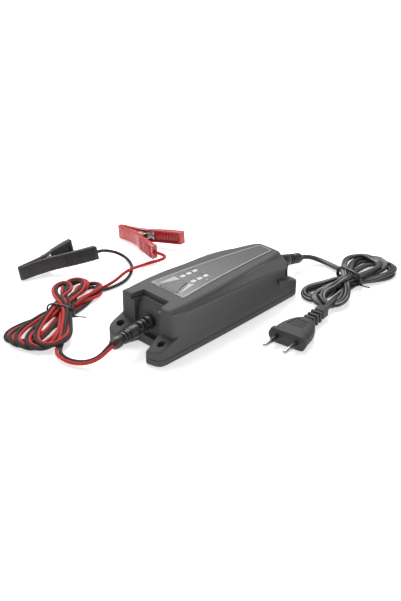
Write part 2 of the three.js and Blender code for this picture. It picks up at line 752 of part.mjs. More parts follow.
add('plug_body', onPlug(buildPlugBody()), BODY_BLACK);
add('plug_boot', onPlug(buildPlugBoot()), SOFT_BLACK);
[-1, 1].forEach((s, i) => {
  const metal = lathe([[0, -7], [1.3, -7], [1.3, 10.4], [PIN_R - 0.1, 10.7], [PIN_R - 0.1, 18.2],
    [1.5, 18.8], [0, PIN_LENGTH]], 16);
  metal.rotateZ(Math.PI / 2);
  metal.translate(0, (s * PIN_PITCH) / 2, 0);
  add(`plug_pin_${i + 1}`, onPlug(metal), NICKEL, 0.95, 0.3);
  const sleeve = lathe([[1.55, -6], [1.95, -6], [1.95, 10.2], [1.55, 10.2], [1.55, -6]], 16);
  sleeve.rotateZ(Math.PI / 2);
  sleeve.translate(0, (s * PIN_PITCH) / 2, 0);
  add(`plug_pin_sleeve_${i + 1}`, onPlug(sleeve), SOFT_BLACK);
});

// ---- clamps, drawn lying on their side: nose at the origin, handles along +X ----
const CLAMP_XS = [0, 1.4, 4, 8, 13, 18, 23, 27, 31, 35, 40, 46, 54, 61];

function clampInner(x) {
  const xs = [0, 5, 12, 18, 24, 29, 34, 42, 52, 69];
  const ys = [0.3, 0.3, 0.9, 1.2, 1.6, 2.6, 5.0, 8.8, 12.8, 18.2];
  return lerpTable(xs, ys, x);
}

function clampOuter(x) {
  const xs = [0, 1.4, 4, 12, 20, 26, 31, 38, 46, 56, 69];
  const ys = [1.5, 2.7, 3.3, 4.0, 5.0, 6.4, 8.2, 11.6, 15.4, 19.6, 24.6];
  return lerpTable(xs, ys, x);
}

function clampShell(length, withHole) {
  const h = CLAMP_HEIGHT;
  const xs = [...CLAMP_XS, length];
  const low = xs.map((x) => [x, clampInner(x)]);
  const high = xs.map((x) => [x, clampOuter(x)]).reverse();
  let shell = solid(bevelPrism([...low, ...high], 0, h, 0.5, 2));
  const wall = CLAMP_XS.filter((x) => x > 1.2).map((x) => [x + 0.4, clampOuter(x) - 1.1]);
  wall.push([length - 2.2, clampOuter(length - 2.2) - 1.2]);
  const channel = [[1.8, -3], [length - 2.2, 8], ...wall.reverse()];
  shell = shell.subtract(solid(prism(channel, 1.5, h - 1.5)));
  for (let x = 44; x <= length - 4; x += 2.9) {
    shell = shell.add(solid(cylinder(0.6, 0.5, h - 0.5, x, clampOuter(x) - 0.1, 8)));
  }
  if (withHole) {
    const bore = new THREE.CylinderGeometry(1.85, 1.85, 8, 16);
    bore.rotateZ(Math.PI / 2);
    shell = shell.subtract(solid(place(bore, CLAMP_LENGTH, 21.4, h / 2)));
  }
  return shell;
}

function clampJaw(lugLow, toothPhase) {
  const h = CLAMP_HEIGHT;
  const outline = [2.8, 4, 8, 13, 18, 23, 27, 31, 35, 38].map((x) => [x, clampOuter(x) - 1.5]);
  outline.push(...[38, 35, 31, 27, 23, 18, 14].map((x) => [x, clampOuter(x) - 2.3]));
  for (let i = 3; i >= 0; i -= 1) {
    const x = 3.8 + 2.1 * i + toothPhase;
    const root = clampOuter(x) - 2.3;
    outline.push([x + 0.8, root], [x, 0.25], [x - 0.8, root]);
  }
  let jaw = solid(prism(outline.reverse(), 1.9, h - 1.9));
  const lug = [[PIVOT_X - 4.5, 4.2], [PIVOT_X - 2.6, -1.8], [PIVOT_X - 1.2, -2.8], [PIVOT_X + 1.2, -2.8],
    [PIVOT_X + 2.6, -1.8], [PIVOT_X + 4.5, 7.2]];
  [[lugLow, lugLow + 0.8], [h - lugLow - 0.8, h - lugLow]].forEach(([z0, z1]) => {
    jaw = jaw.add(solid(prism(lug, z0, z1)));
  });
  jaw = jaw.subtract(solid(cylinder(1.6, -2, 20, PIVOT_X, 0, 20)));
  return jaw;
}

function mirrorY(manifold) {
  const geometry = geometryOf(manifold);
  geometry.scale(1, -1, 1);
  return outward(geometry);
}

function springCoil() {
  const route = [[PIVOT_X + 13, -6.6, 4.5], [PIVOT_X + 7, -4.7, 4.5]];
  const turns = 2.5;
  const perTurn = 10;
  for (let i = 0; i <= perTurn * turns; i += 1) {
    const a = -Math.PI / 2 - (2 * Math.PI * i) / perTurn;
    const z = 4.5 + (3.4 * i) / (perTurn * turns);
    route.push([PIVOT_X + 3.0 * Math.cos(a), 3.0 * Math.sin(a), z]);
  }
  return sweep(route, roundSection(0.45, 6), 32);
}

function springArm() {
  const route = [[PIVOT_X + 0.9, 3.0, 7.9], [PIVOT_X + 6, 4.4, 7.9], [PIVOT_X + 13, 6.6, 7.9]];
  return sweep(route, roundSection(0.45, 6), 4);
}

const CLAMPS = {
  red_clamp: { color: RED, nose: [52.5, 166.6], turn: [-88, -6, -2] },
  black_clamp: { color: SOFT_BLACK, nose: [-70, 164.5], turn: [-10, -5, -11] },
};

function clampLift(turn) {
  const corners = [[0, -1.5], [0, 1.5], [CLAMP_LENGTH, -25], [CLAMP_LENGTH, 25], [4, -3.3], [4, 3.3]];
  let low = Infinity;
  corners.forEach(([x, y]) => {
    const p = new THREE.Vector3(x, y, 0);
    const g = new THREE.BufferGeometry().setFromPoints([p]);
    low = Math.min(low, place(g, 0, 0, 0, ...turn).attributes.position.getZ(0));
  });
  return 0.2 - low;
}

function clampPoint(prefix, x, y, z) {
  const { nose, turn } = CLAMPS[prefix];
  const g = new THREE.BufferGeometry().setFromPoints([new THREE.Vector3(x, y, z)]);
  const p = place(g, nose[0], nose[1], clampLift(turn), ...turn).attributes.position;
  return [p.getX(0), p.getY(0), p.getZ(0)];
}

function addClamp(prefix) {
  const { color, nose, turn } = CLAMPS[prefix];
  const put = (geometry) => place(geometry, nose[0], nose[1], clampLift(turn), ...turn);
  add(`${prefix}_fixed_shell`, put(mirrorY(clampShell(CLAMP_LENGTH, true))), color);
  add(`${prefix}_moving_shell`, put(geometryOf(clampShell(CLAMP_FREE_LENGTH, false))), color);
  add(`${prefix}_fixed_jaw`, put(mirrorY(clampJaw(2.0, 0))), STEEL, 0.9, 0.4);
  add(`${prefix}_moving_jaw`, put(geometryOf(clampJaw(3.2, 1.0))), STEEL, 0.9, 0.4);
  add(`${prefix}_pivot_pin`, put(cylinder(1.3, 1.9, CLAMP_HEIGHT - 1.9, PIVOT_X, 0, 16)), STEEL, 0.9, 0.35);
  add(`${prefix}_spring`, put(springCoil()), STEEL, 0.9, 0.35);
  add(`${prefix}_spring_arm`, put(springArm()), STEEL, 0.9, 0.35);
}

addClamp('red_clamp');
addClamp('black_clamp');

// ---- cords ----
function hankSolid(centre, angle, outline, z0, z1) {
  const flat = bevelPrism(outline.slice().reverse(), z0, z1, 2.6, 2);
  return place(flat, centre[0], centre[1], 0, angle);
}

// flat tie closed round the waist of a hank
function tieRing(centre, angle, halfWidth, z0, z1) {
  const outer = solid(box(-1.6, 1.6, -halfWidth - 1.3, halfWidth + 1.3, z0 - 1.3, z1 + 1.3));
  const inner = solid(box(-5, 5, -halfWidth - 0.4, halfWidth + 0.4, z0 - 0.4, z1 + 0.4));
  return place(geometryOf(outer.subtract(inner)), centre[0], centre[1], 0, angle);
}

const HANK_BOTTOM = 1.7;

const DC_CENTRE = [-88, 87];
const DC_ANGLE = 26;
const DC_TOP = 12.6;
const DC_OUTLINE = [
  [-62, -13], [-63, -3], [-60, 9], [-52, 20], [-40, 26], [-26, 25], [-14, 17], [-5, 12.5], [6, 12],
  [18, 14.5], [32, 18.5], [44, 19.5], [53, 14], [57, 4], [54, -8], [46, -15], [34, -19], [20, -17.5],
  [6, -12], [-5, -12], [-16, -13], [-30, -17], [-44, -20.5], [-55, -20],
];
add('output_hank', hankSolid(DC_CENTRE, DC_ANGLE, DC_OUTLINE, HANK_BOTTOM, DC_TOP), RED);
add('output_hank_tie', tieRing(DC_CENTRE, DC_ANGLE, 12, HANK_BOTTOM, DC_TOP), SOFT_BLACK);

const MAINS_CENTRE = [131, -52];
const MAINS_ANGLE = -2;
const MAINS_TOP = 15;
const MAINS_OUTLINE = [
  [-54, -4], [-54, 4], [-50, 13], [-40, 20], [-28, 21], [-14, 15.5], [-5, 12.5], [5, 12.5],
  [16, 16], [28, 20.5], [38, 20], [46, 13], [50, 4], [50, -4], [46, -13], [38, -20], [28, -20.5],
  [16, -16], [5, -12.5], [-5, -12.5], [-14, -15.5], [-28, -21], [-40, -20], [-50, -13],
];
add('mains_hank', hankSolid(MAINS_CENTRE, MAINS_ANGLE, MAINS_OUTLINE, HANK_BOTTOM, MAINS_TOP), SOFT_BLACK);
add('mains_hank_tie', tieRing(MAINS_CENTRE, MAINS_ANGLE, 12.5, HANK_BOTTOM, MAINS_TOP), SOFT_BLACK);

const OUTPUT_ROUTE = [
  reliefTip(-1, 0.3), reliefTip(-1, 3.5), [-114.6, 2.6, 12.4], [-118, 5.4, 9], [-121.4, 9.8, 5.8],
  [-124.8, 14.6, 3.9], [-128.4, 20, 3.5], [-130.8, 27, 3.4], [-130.4, 35, 3.4],
  [-128.2, 43.3, 3.4],
];
add('output_lead', sweep(OUTPUT_ROUTE, edgeSection(WIRE_D, 2 * WIRE_D), 12), RED);

// last stretch of a lead: into the open end of the handle that holds it
function intoHandle(prefix) {
  const height = CLAMP_HEIGHT / 2;
  return [
    clampPoint(prefix, CLAMP_LENGTH + 4, -21.6, height),
    clampPoint(prefix, CLAMP_LENGTH + 1, -21.4, height),
    clampPoint(prefix, CLAMP_LENGTH - 1.8, -21.4, height),
  ];
}

const RED_ROUTE = [
  [-35, 99.2, 2.2], [-30.3, 98.9, 2], [-23, 98.9, 2.4], [-15.5, 98.9, 3.2], [-7, 100.5, 4.4],
  [0.5, 101.8, 5.2], [8, 102.5, 5.2], [20, 103.9, 3], [28, 104.3, 1.9], [35, 103.4, 1.8],
  [40.5, 100.6, 2.2], [43.6, 96.2, 4.4], [42.8, 92.6, 8.2], [38.4, 91.2, 12.2],
  ...intoHandle('red_clamp'),
];
add('red_lead', sweep(RED_ROUTE, roundSection(WIRE_D / 2, 8), 26), RED);

const BLACK_ROUTE = [
  [-34, 95.4, 2], [-30, 94.6, 1.8], [-23.2, 93.8, 1.8], [-15.5, 93.3, 1.8], [-7.5, 94.2, 1.8],
  [0.8, 97.9, 1.8], [9.6, 104, 1.8], [16.6, 110.9, 1.8], [20.8, 118.1, 1.9], [22.8, 124.6, 2.5],
  [22.4, 130.2, 4.2], [18.2, 134.2, 7.2], [11, 135.4, 10.8], [4, 134, 14.4],
  ...intoHandle('black_clamp'),
];
add('black_lead', sweep(BLACK_ROUTE, roundSection(WIRE_D / 2, 8), 26), SOFT_BLACK);

const MAINS_ROUTE_A = [
  reliefTip(1, 0.3), reliefTip(1, 3.5), [132.4, 0, 8.4], [136.8, -1.2, 7], [140.4, -4, 5.4],
  [143, -8.4, 4], [144.4, -14.3, 3.2], [144.2, -20.1, 3.2], [142.9, -26, 3.4], [141.6, -29.8, 3.8],
];
add('mains_lead_a', sweep(MAINS_ROUTE_A, edgeSection(MAINS_T, MAINS_W), 12), SOFT_BLACK);

function plugPoint(x) {
  const a = THREE.MathUtils.degToRad(PLUG_HEADING);
  return [PLUG_FACE[0] + x * Math.cos(a), PLUG_FACE[1] + x * Math.sin(a), PLUG_FACE[2]];
}

const MAINS_ROUTE_B = [plugPoint(60.3), plugPoint(63), [76, -71, 6.8], [80.6, -69.6, 6.7]];
add('mains_lead_b', sweep(MAINS_ROUTE_B, flatSection(MAINS_T, MAINS_W), 4), SOFT_BLACK);

export default group;
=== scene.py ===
"""Visual model of a car battery charger with its mains lead, output lead and two spring clamps.

Sizes in the classes are millimetres, in the frame of the design; meshes are made in metres.
"""

import logging
import math
from dataclasses import dataclass, field
from enum import Enum
from typing import Iterable, Sequence

import bmesh
import bpy
import numpy as np
from mathutils import Matrix, Vector


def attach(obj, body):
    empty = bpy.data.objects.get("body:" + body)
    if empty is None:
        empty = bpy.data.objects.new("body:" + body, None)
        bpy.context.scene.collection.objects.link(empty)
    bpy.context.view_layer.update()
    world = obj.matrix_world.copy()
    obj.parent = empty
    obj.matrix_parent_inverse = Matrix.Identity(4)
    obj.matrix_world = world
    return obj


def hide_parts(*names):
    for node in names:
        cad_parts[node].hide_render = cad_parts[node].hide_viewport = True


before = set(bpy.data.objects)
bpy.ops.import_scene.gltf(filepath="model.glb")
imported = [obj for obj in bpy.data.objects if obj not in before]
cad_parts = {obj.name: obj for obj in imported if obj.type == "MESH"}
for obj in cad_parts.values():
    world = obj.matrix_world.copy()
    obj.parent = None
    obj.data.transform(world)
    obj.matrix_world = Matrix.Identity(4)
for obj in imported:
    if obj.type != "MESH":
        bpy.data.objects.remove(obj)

LOG = logging.getLogger("charger")
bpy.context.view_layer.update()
MM = 0.001
CHARGER = "charger"
PIECES: list[bpy.types.Object] = []
Point = Sequence[float]
Faces = list[tuple[int, ...]]


# ---------------------------------------------------------------- general mesh helpers


def smooth_table(xs: Sequence[float], ys: Sequence[float], x: float) -> float:
    """Value of a smooth curve through the entries of a table.

    Args:
        xs: Rising places.
        ys: Value at each place.
        x: Place to read.

    Returns:
        The value, held level past either end.
    """
    if x <= xs[0]:
        return ys[0]
    if x >= xs[-1]:
        return ys[-1]
    slopes = np.gradient(np.asarray(ys, float), np.asarray(xs, float))
    i = int(np.searchsorted(xs, x)) - 1
    gap = xs[i + 1] - xs[i]
    t = (x - xs[i]) / gap
    start, end = slopes[i] * gap, slopes[i + 1] * gap
    rise = ys[i + 1] - ys[i]
    return ys[i] + start * t + (3 * rise - 2 * start - end) * t**2 + (start + end - 2 * rise) * t**3


def catmull(points: np.ndarray, parts: int, closed: bool = False) -> np.ndarray:
    """Catmull-Rom curve through points.

    Args:
        points: Array of points, one a row.
        parts: Number of pieces that each span is cut into.
        closed: Whether the curve joins its own start.

    Returns:
        Points along the curve.
    """
    points = np.asarray(points, float)
    if closed:
        padded = np.vstack([points[-1:], points, points[:2]])
    else:
        padded = np.vstack([2 * points[0] - points[1], points, 2 * points[-1] - points[-2]])
    t = np.linspace(0, 1, parts, endpoint=False)[:, None]
    made = []
    for i in range(len(padded) - 3):
        a, b, c, d = padded[i : i + 4]
        made.append(
            0.5 * (2 * b + (c - a) * t + (2 * a - 5 * b + 4 * c - d) * t**2 + (3 * b - a - 3 * c + d) * t**3)
        )
    curve = np.vstack(made)
    return curve if closed else np.vstack([curve, points[-1:]])


def even_steps(points: np.ndarray, step: float) -> np.ndarray:
    """Points at equal distances along a broken line.

    Args:
        points: Corners of the line.
        step: Distance wanted between points.

    Returns:
        New points, with both ends kept.
    """
    gaps = np.linalg.norm(np.diff(points, axis=0), axis=1)
    along = np.concatenate([[0], np.cumsum(gaps)])
    count = max(2, int(round(along[-1] / step)) + 1)
    wanted = np.linspace(0, along[-1], count)
    return np.stack([np.interp(wanted, along, points[:, k]) for k in range(points.shape[1])], 1)


def eased(points: np.ndarray, rounds: int) -> np.ndarray:
    """Line with its kinks smoothed away and both ends kept.

    Args:
        points: Points along the line.
        rounds: Number of smoothing passes.

    Returns:
        The smoother line.
    """
    line = points.copy()
    for _ in range(rounds):
        line[2:-2] = 0.5 * line[2:-2] + 0.25 * (line[1:-3] + line[3:-1])
    return line


def line_length(points: np.ndarray) -> float:
    """Length of a broken line."""
    return float(np.linalg.norm(np.diff(points, axis=0), axis=1).sum())


def new_object(name: str, verts: Iterable[Point], faces: Faces, sharp_deg: float = 32.0) -> bpy.types.Object:
    """Mesh object at the origin from millimetre vertices.

    Args:
        name: Name of the piece.
        verts: Vertices in millimetres.
        faces: Vertex numbers of each face.
        sharp_deg: Edges that turn more than this stay sharp in the shading.

    Returns:
        The linked object, with its faces turned outwards.
    """
    mesh = bpy.data.meshes.new(name)
    mesh.from_pydata([tuple(float(c) * MM for c in v) for v in verts], [], faces)
    work = bmesh.new()
    work.from_mesh(mesh)
    bmesh.ops.remove_doubles(work, verts=work.verts, dist=1e-7)
    bmesh.ops.triangulate(work, faces=[f for f in work.faces if len(f.verts) > 4])
    bmesh.ops.recalc_face_normals(work, faces=work.faces)
    work.to_mesh(mesh)
    work.free()
    obj = bpy.data.objects.new(name, mesh)
    bpy.context.scene.collection.objects.link(obj)
    shade(obj, sharp_deg)
    return obj


def shade(obj: bpy.types.Object, sharp_deg: float) -> None:
    """Smooth shading with sharp edges past an angle."""
    obj.data.shade_smooth()
    obj.data.set_sharp_from_angle(angle=math.radians(sharp_deg))


def settle_modifiers(obj: bpy.types.Object) -> None:
    """Turns an object's live modifiers into its plain mesh."""
    graph = bpy.context.evaluated_depsgraph_get()
    mesh = bpy.data.meshes.new_from_object(obj.evaluated_get(graph))
    obj.modifiers.clear()
    old = obj.data
    obj.data = mesh
    bpy.data.meshes.remove(old)


class Cut(Enum):
    """Ways to join two solids."""

    TAKE = "DIFFERENCE"
    JOIN = "UNION"


def combine(target: bpy.types.Object, tool: bpy.types.Object, how: Cut) -> None:
    """Cuts or joins one solid with another, and removes the tool.

    Args:
        target: Object that keeps the result.
        tool: Object that cuts or joins.
        how: Which boolean.
    """
    modifier = target.modifiers.new("combine", "BOOLEAN")
    modifier.operation = how.value
    modifier.solver = "MANIFOLD"
    modifier.object = tool
    settle_modifiers(target)
    bpy.data.objects.remove(tool)


def clean(obj: bpy.types.Object, sharp_deg: float = 32.0) -> None:
    """Merges doubles, drops slivers and cuts big faces into triangles after booleans."""
    work = bmesh.new()
    work.from_mesh(obj.data)
    bmesh.ops.remove_doubles(work, verts=work.verts, dist=2e-6)
    bmesh.ops.dissolve_degenerate(work, edges=work.edges, dist=2e-6)
    bmesh.ops.triangulate(work, faces=[f for f in work.faces if len(f.verts) > 4])
    bmesh.ops.recalc_face_normals(work, faces=work.faces)
    work.to_mesh(obj.data)
    work.free()
    shade(obj, sharp_deg)


def ring_mesh(rings: Sequence[np.ndarray], capped: bool = True) -> tuple[np.ndarray, Faces]:
    """Skin through equal rings of points.

    Args:
        rings: Rings of points in order.
        capped: Whether both ends are closed.

    Returns:
        Vertices and faces.
    """
    count = len(rings[0])
    verts = np.vstack(rings)
    faces: Faces = []
    for i in range(len(rings) - 1):
        for j in range(count):
            k = (j + 1) % count
            faces.append((i * count + j, i * count + k, (i + 1) * count + k, (i + 1) * count + j))
    if capped:
        last = (len(rings) - 1) * count
        faces.append(tuple(reversed(range(count))))
        faces.append(tuple(last + j for j in range(count)))
    return verts, faces


def stacked(name: str, outlines: Sequence[np.ndarray], heights: Sequence) -> bpy.types.Object:
    """Solid from plan outlines at rising heights.

    Args:
        name: Name of the object.
        outlines: Plan outlines with equal numbers of points.
        heights: A number, or a function of x and y, for each outline.

    Returns:
        The closed object.
    """
    rings = []
    for outline, height in zip(outlines, heights):
        zs = [height(x, y) if callable(height) else height for x, y in outline]
        rings.append(np.column_stack([outline, zs]))
    verts, faces = ring_mesh(rings, capped=False)
    count = len(outlines[0])
    faces.append(tuple(reversed(range(count))))
    faces.append(tuple((len(rings) - 1) * count + j for j in range(count)))
    return new_object(name, verts, faces)


def box_tool(low: Point, high: Point) -> bpy.types.Object:
    """Plain block between two corners, used as a cutting tool."""
    (x0, y0, z0), (x1, y1, z1) = low, high
    outline = np.array([[x0, y0], [x1, y0], [x1, y1], [x0, y1]])
    return stacked("tool", [outline, outline], [z0, z1])


def turned(profile: Sequence[Point], sides: int) -> tuple[np.ndarray, Faces]:
    """Closed body of revolution round Z.

    Args:
        profile: Radius and height pairs, from axis to axis.
        sides: Number of sides.

    Returns:
        Vertices and faces.
    """
    angles = np.linspace(0, 2 * math.pi, sides, endpoint=False)
    rings = [np.column_stack([r * np.cos(angles), r * np.sin(angles), np.full(sides, z)]) for r, z in profile]
    return ring_mesh(rings, capped=True)


def rounded_outline(points: Sequence[Point], radius: float, parts: int = 5) -> np.ndarray:
    """Outline with an arc in place of each corner.

    Args:
        points: Corners of a closed outline.
        radius: Radius wanted, less where a side is short.
        parts: Number of steps in each arc.

    Returns:
        The new outline.
    """
    corners = np.asarray(points, float)
    made = []
    for i, here in enumerate(corners):
        before = corners[i - 1] - here
        after = corners[(i + 1) % len(corners)] - here
        length_before, length_after = np.linalg.norm(before), np.linalg.norm(after)
        before, after = before / length_before, after / length_after
        half = math.acos(float(np.clip(before @ after, -1, 1))) / 2
        reach = min(radius / max(math.tan(half), 1e-3), 0.45 * length_before, 0.45 * length_after)
        start, end = here + before * reach, here + after * reach
        for t in np.linspace(0, 1, parts + 1):
            made.append((1 - t) ** 2 * start + 2 * t * (1 - t) * here + t**2 * end)
    return np.array(made)


def inset_outline(points: np.ndarray, distance: float) -> np.ndarray:
    """Closed anticlockwise outline moved inwards by a distance."""
    before = points - np.roll(points, 1, 0)
    after = np.roll(points, -1, 0) - points
    before = before / np.maximum(np.linalg.norm(before, axis=1, keepdims=True), 1e-9)
    after = after / np.maximum(np.linalg.norm(after, axis=1, keepdims=True), 1e-9)
    normal = np.column_stack([-(before + after)[:, 1], (before + after)[:, 0]])
    normal /= np.maximum(np.linalg.norm(normal, axis=1, keepdims=True), 1e-9)
    side = np.column_stack([-before[:, 1], before[:, 0]])
    spread = np.maximum((normal * side).sum(1, keepdims=True), 0.6)
    return points + normal * distance / spread


def turn_matrix(heading: float, pitch: float, roll: float, at: Point) -> Matrix:
    """Place of a piece turned about Z, then Y, then X.

    Args:
        heading: Degrees about Z.
        pitch: Degrees about Y.
        roll: Degrees about X.
        at: Place of its origin in millimetres.

    Returns:
        Matrix in millimetres.
    """
    turn = Matrix.Rotation(math.radians(heading), 4, "Z")
    turn = turn @ Matrix.Rotation(math.radians(pitch), 4, "Y")
    turn = turn @ Matrix.Rotation(math.radians(roll), 4, "X")
    return Matrix.Translation(Vector(at)) @ turn


def placed(verts: np.ndarray, matrix: Matrix) -> np.ndarray:
    """Vertices carried by a matrix."""
    grid = np.array(matrix)
    return verts @ grid[:3, :3].T + grid[:3, 3]


def move_mesh(obj: bpy.types.Object, matrix: Matrix) -> None:
    """Carries an object's mesh by a millimetre matrix, with the object left at the origin."""
    scaled = matrix.copy()
    scaled.translation = matrix.translation * MM
    obj.data.transform(scaled)


def register(
    obj: bpy.types.Object, body: str, material: bpy.types.Material, stands_for: Sequence[str] = ()
) -> bpy.types.Object:
    """Gives a piece its body and material and notes it in the log.

    Args:
        obj: The piece.
        body: CAD body that it moves with.
        material: Its material.
        stands_for: CAD nodes that it replaces.

    Returns:
        The same piece.
    """
    obj.data.materials.clear()
    obj.data.materials.append(material)
    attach(obj, body)
    if stands_for:
        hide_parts(*stands_for)
    PIECES.append(obj)
    LOG.info("%s rides on %s, %d faces", obj.name, body, len(obj.data.polygons))
    return obj


def pieces_named(*starts: str) -> list[bpy.types.Object]:
    """Pieces whose names start in one of the given ways."""
    return [obj for obj in PIECES if obj.name.startswith(starts)]


# ---------------------------------------------------------------- materials


@dataclass(frozen=True)
class MouldedFinish:
    """Moulded plastic or rubber: two close colours, a fine grain and uneven gloss."""

    name: str
    colour: tuple[float, float, float]
    worn: tuple[float, float, float]
    roughness: tuple[float, float] = (0.42, 0.56)
    grain_scale: float = 2600.0
    grain_depth: float = 0.12
    coat: float = 0.0
    specular: float = 0.5


@dataclass(frozen=True)
class MetalFinish:
    """Plated or bare metal with fine brushed lines."""

    name: str
    colour: tuple[float, float, float]
    dull: tuple[float, float, float]
    roughness: tuple[float, float] = (0.22, 0.42)
    stretch: tuple[float, float, float] = (60.0, 900.0, 900.0)


CHARGER_PLASTIC = MouldedFinish("charger_plastic", (0.029, 0.027, 0.027), (0.042, 0.039, 0.038), (0.34, 0.47))
BUTTON_PLASTIC = MouldedFinish("button_plastic", (0.038, 0.036, 0.037), (0.054, 0.051, 0.052), (0.34, 0.46))
LABEL_FILM = MouldedFinish(
    "label_film", (0.046, 0.043, 0.045), (0.058, 0.054, 0.056), (0.38, 0.50), 1500.0, 0.05
)
RELIEF_RUBBER = MouldedFinish("relief_rubber", (0.022, 0.021, 0.021), (0.040, 0.038, 0.037), (0.44, 0.60))
PLUG_PLASTIC = MouldedFinish("plug_plastic", (0.036, 0.034, 0.034), (0.056, 0.053, 0.052), (0.40, 0.55))
SLEEVE_PLASTIC = MouldedFinish("pin_sleeve", (0.020, 0.020, 0.020), (0.032, 0.031, 0.031), (0.32, 0.42))
CLAMP_RED = MouldedFinish("clamp_red", (0.38, 0.050, 0.052), (0.47, 0.082, 0.084), (0.38, 0.52), 1900.0, 0.10)
CLAMP_BLACK = MouldedFinish("clamp_black", (0.026, 0.024, 0.023), (0.042, 0.039, 0.037), (0.36, 0.50), 1900.0)
WIRE_RED = MouldedFinish("wire_red", (0.37, 0.038, 0.040), (0.46, 0.070, 0.070), (0.32, 0.46), 1400.0, 0.05)
WIRE_BLACK = MouldedFinish(
    "wire_black", (0.024, 0.022, 0.022), (0.044, 0.041, 0.040), (0.30, 0.44), 1400.0, 0.05
)
MAINS_SHEATH = MouldedFinish(
    "mains_sheath", (0.028, 0.026, 0.026), (0.052, 0.049, 0.048), (0.28, 0.42), 1400.0, 0.05
)
TIE_SHEATH = MouldedFinish("tie_sheath", (0.012, 0.012, 0.012), (0.026, 0.025, 0.025), (0.30, 0.42))
SILVER_INK = MouldedFinish("silver_ink", (0.36, 0.36, 0.37), (0.44, 0.44, 0.45), (0.34, 0.46), 1500.0, 0.03)
PALE_INK = MouldedFinish("pale_ink", (0.24, 0.24, 0.25), (0.30, 0.30, 0.31), (0.40, 0.50), 1500.0, 0.03)
WINDOW = MouldedFinish("light_window", (0.40, 0.41, 0.44), (0.48, 0.49, 0.52), (0.20, 0.32), 900.0, 0.03, 0.4)
NICKEL = MetalFinish("plated_nickel", (0.66, 0.63, 0.57), (0.42, 0.40, 0.36))
SPRING = MetalFinish("spring_wire", (0.060, 0.058, 0.056), (0.025, 0.024, 0.024), (0.30, 0.45))
STEEL = MetalFinish("clamp_steel", (0.50, 0.49, 0.47), (0.28, 0.27, 0.26), (0.30, 0.50))


COLUMN_GAP = 220
ROW_GAP = 380


def arrange(tree: bpy.types.NodeTree, groups: dict[str, list[bpy.types.Node]]) -> None:
    """Sets nodes out in rows, each group in a frame of its own.

    Args:
        tree: Node tree that holds the nodes.
        groups: Frame label to its nodes, in reading order.
    """
    for row, (label, nodes) in enumerate(groups.items()):
        holder = tree.nodes.new("NodeFrame")
        holder.label = label
        for column, node in enumerate(nodes):
            node.parent = holder
            node.location = (column * COLUMN_GAP, -row * ROW_GAP)


def moulded(finish: MouldedFinish) -> bpy.types.Material:
    """Material for a moulded surface.

    Args:
        finish: Colours, grain and gloss.

    Returns:
        The material, made once for each finish.
    """
    known = bpy.data.materials.get(finish.name)
    if known:
        return known
    material = bpy.data.materials.new(finish.name)
    material.use_nodes = True
    tree = material.node_tree
    tree.nodes.clear()
    result = tree.nodes.new("ShaderNodeOutputMaterial")
    result.label = "finished surface"
    shader = tree.nodes.new("ShaderNodeBsdfPrincipled")
    shader.label = f"{finish.name} surface"
    place = tree.nodes.new("ShaderNodeTexCoord")
    place.label = "place on the piece"
    cloud = tree.nodes.new("ShaderNodeTexNoise")
    cloud.label = "slow change of shade"
    blend = tree.nodes.new("ShaderNodeValToRGB")
    blend.label = "fresh to worn colour"
    grain = tree.nodes.new("ShaderNodeTexNoise")
    grain.label = "moulded grain"
    relief = tree.nodes.new("ShaderNodeBump")
    relief.label = "grain relief"
    smudge = tree.nodes.new("ShaderNodeTexNoise")
    smudge.label = "handled patches"
    gloss = tree.nodes.new("ShaderNodeMapRange")
    gloss.label = "gloss from patches"
    cloud.inputs["Scale"].default_value = 55.0
    cloud.inputs["Detail"].default_value = 3.0
    blend.color_ramp.elements[0].position = 0.35
    blend.color_ramp.elements[0].color = (*finish.colour, 1)
    blend.color_ramp.elements[1].position = 0.72
    blend.color_ramp.elements[1].color = (*finish.worn, 1)
    grain.inputs["Scale"].default_value = finish.grain_scale
    grain.inputs["Detail"].default_value = 2.0
    relief.inputs["Strength"].default_value = finish.grain_depth
    relief.inputs["Distance"].default_value = 0.0002
    smudge.inputs["Scale"].default_value = 130.0
    smudge.inputs["Detail"].default_value = 4.0
    gloss.inputs["From Min"].default_value = 0.3
    gloss.inputs["From Max"].default_value = 0.7
    gloss.inputs["To Min"].default_value = finish.roughness[0]
    gloss.inputs["To Max"].default_value = finish.roughness[1]
    shader.inputs["Specular IOR Level"].default_value = finish.specular
    shader.inputs["Coat Weight"].default_value = finish.coat
    tree.links.new(place.outputs["Object"], cloud.inputs["Vector"])
    tree.links.new(cloud.outputs["Fac"], blend.inputs["Fac"])
    tree.links.new(blend.outputs["Color"], shader.inputs["Base Color"])
    tree.links.new(place.outputs["Object"], grain.inputs["Vector"])
    tree.links.new(grain.outputs["Fac"], relief.inputs["Height"])
    tree.links.new(relief.outputs["Normal"], shader.inputs["Normal"])
    tree.links.new(place.outputs["Object"], smudge.inputs["Vector"])
    tree.links.new(smudge.outputs["Fac"], gloss.inputs["Value"])
    tree.links.new(gloss.outputs["Result"], shader.inputs["Roughness"])
    tree.links.new(shader.outputs["BSDF"], result.inputs["Surface"])
    groups = {
        "colour": [place, cloud, blend], "grain": [grain, relief], "gloss": [smudge, gloss],
        "surface": [shader, result],
    }
    arrange(tree, groups)
    return material


